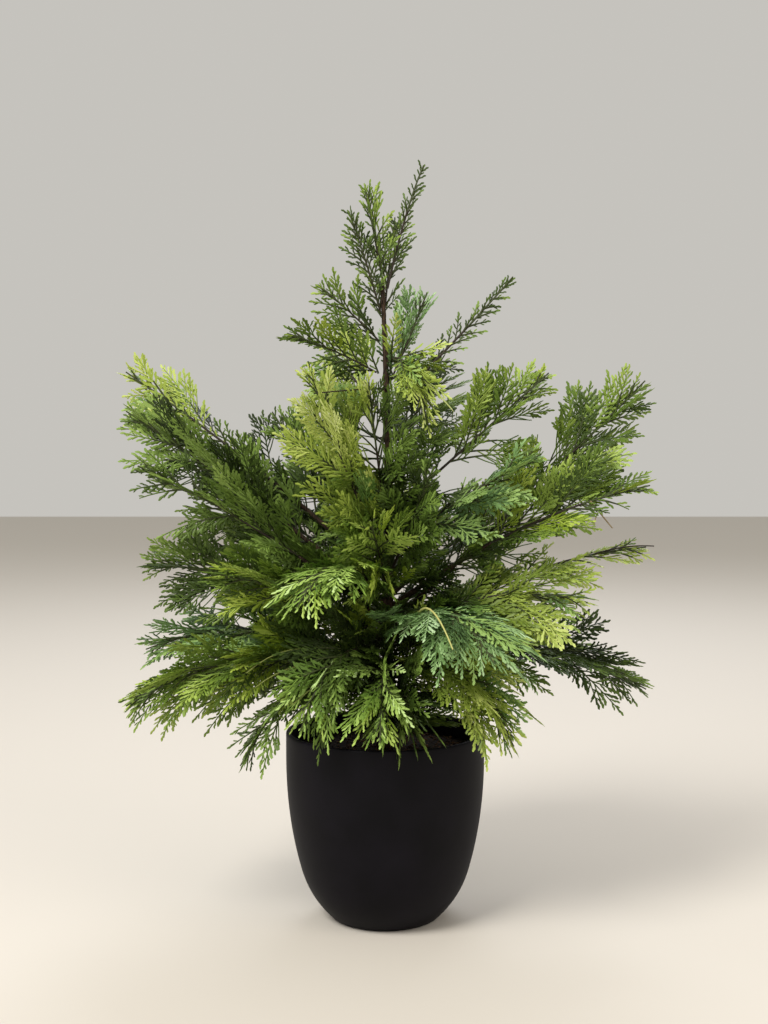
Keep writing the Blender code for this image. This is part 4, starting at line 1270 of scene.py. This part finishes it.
# The twigs: the leafy part of each limb has a thin brown stem, and the lower part of each side spray is a
# young twig that is still olive. They are round and dull, and the loose ones have colours of their own.
TWIG_COLOURS = {  # colour and number of sides
    "stem": ("#2C2318", 6),
    "young": ("#37401C", 4),
    "olive": ("#737A3A", 6),
    "yellow": ("#B4B36C", 6),
    "dry": ("#8A7858", 6),
}
bare, entry, out = new_tree("bare_twigs", [("Sides", "NodeSocketInt"), ("Twig", "NodeSocketMaterial")])
made = tubes_along(bare, entry["Geometry"], entry["Sides"])
made = add_node(bare, "GeometryNodeRealizeInstances", {}, {"Geometry": made})
links = {"Geometry": made.outputs["Geometry"], "Material": entry["Twig"]}
made = add_node(bare, "GeometryNodeSetMaterial", {}, links)
bare.links.new(made.outputs["Geometry"], out.inputs["Geometry"])
for kind, (colour, sides) in TWIG_COLOURS.items():
    own = [(None, line, radii, 0) for line, radii, which in twigs if which == kind]
    guide = new_object(kind + "_guide", leafy_guide(kind, [], own))
    finish = {"Base Color": linear(colour), "Roughness": 0.7, "IOR": 1.45}
    rind = new_material("twig_rind_" + kind, finish)[0]
    stems = new_object("twigs_" + kind, grown(guide, bare, {"Sides": sides, "Twig": rind}))
    stems.data.shade_smooth()
    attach(stems, "root")


# The plain pale floor, the soft light of an overcast sky from the front left, and the camera at the
# photograph's height and distance.
FLOOR_HALF = 6
floor_mesh = bpy.data.meshes.new("floor")
corners = [(x * FLOOR_HALF, y * FLOOR_HALF, 0) for x, y in ((-1, -1), (1, -1), (1, 1), (-1, 1))]
floor_mesh.from_pydata(corners, [], [(0, 1, 2, 3)])
floor = new_object("floor", floor_mesh)
finish = {"Base Color": linear("#CFC9C0"), "Roughness": 0.8}
floor.data.materials.append(new_material("pale_floor", finish)[0])

AIM = Vector((0, 0, 0.3))
LAMPS = (  # name, place, size, power and colour
    ("sky_left", (-1.3, -1.5, 2.3), 1.3, 78, "#FFFCF6"),
    ("sky_right", (1.7, -1.3, 1.5), 1.5, 14, "#FFF4E6"),
    ("sky_back", (0.3, 1.8, 2.2), 1.6, 30, "#F2F6FF"),
)
for name, place, size, power, colour in LAMPS:
    lamp = bpy.data.lights.new(name, "AREA")
    lamp.shape = "DISK"
    lamp.size = size
    lamp.energy = power
    lamp.color = linear(colour)[:3]
    thing = new_object(name, lamp)
    thing.location = place
    thing.rotation_euler = (AIM - Vector(place)).to_track_quat("-Z", "Y").to_euler()
world = bpy.data.worlds.new("pale_sky")
world.use_nodes = True
sky = world.node_tree.nodes["Background"].inputs
sky["Color"].default_value = linear("#F4F1EA")
sky["Strength"].default_value = 0.62
bpy.context.scene.world = world
bpy.context.scene.view_settings.view_transform = "Standard"

camera = bpy.data.cameras.new("camera")
camera.lens = 50.6
camera.sensor_width = 36
view_point = new_object("camera", camera)
view_point.location = (-0.001, -1.225, 0.4146)
view_point.rotation_euler = (math.radians(90 - 3.1), 0, 0)
bpy.context.scene.camera = view_point
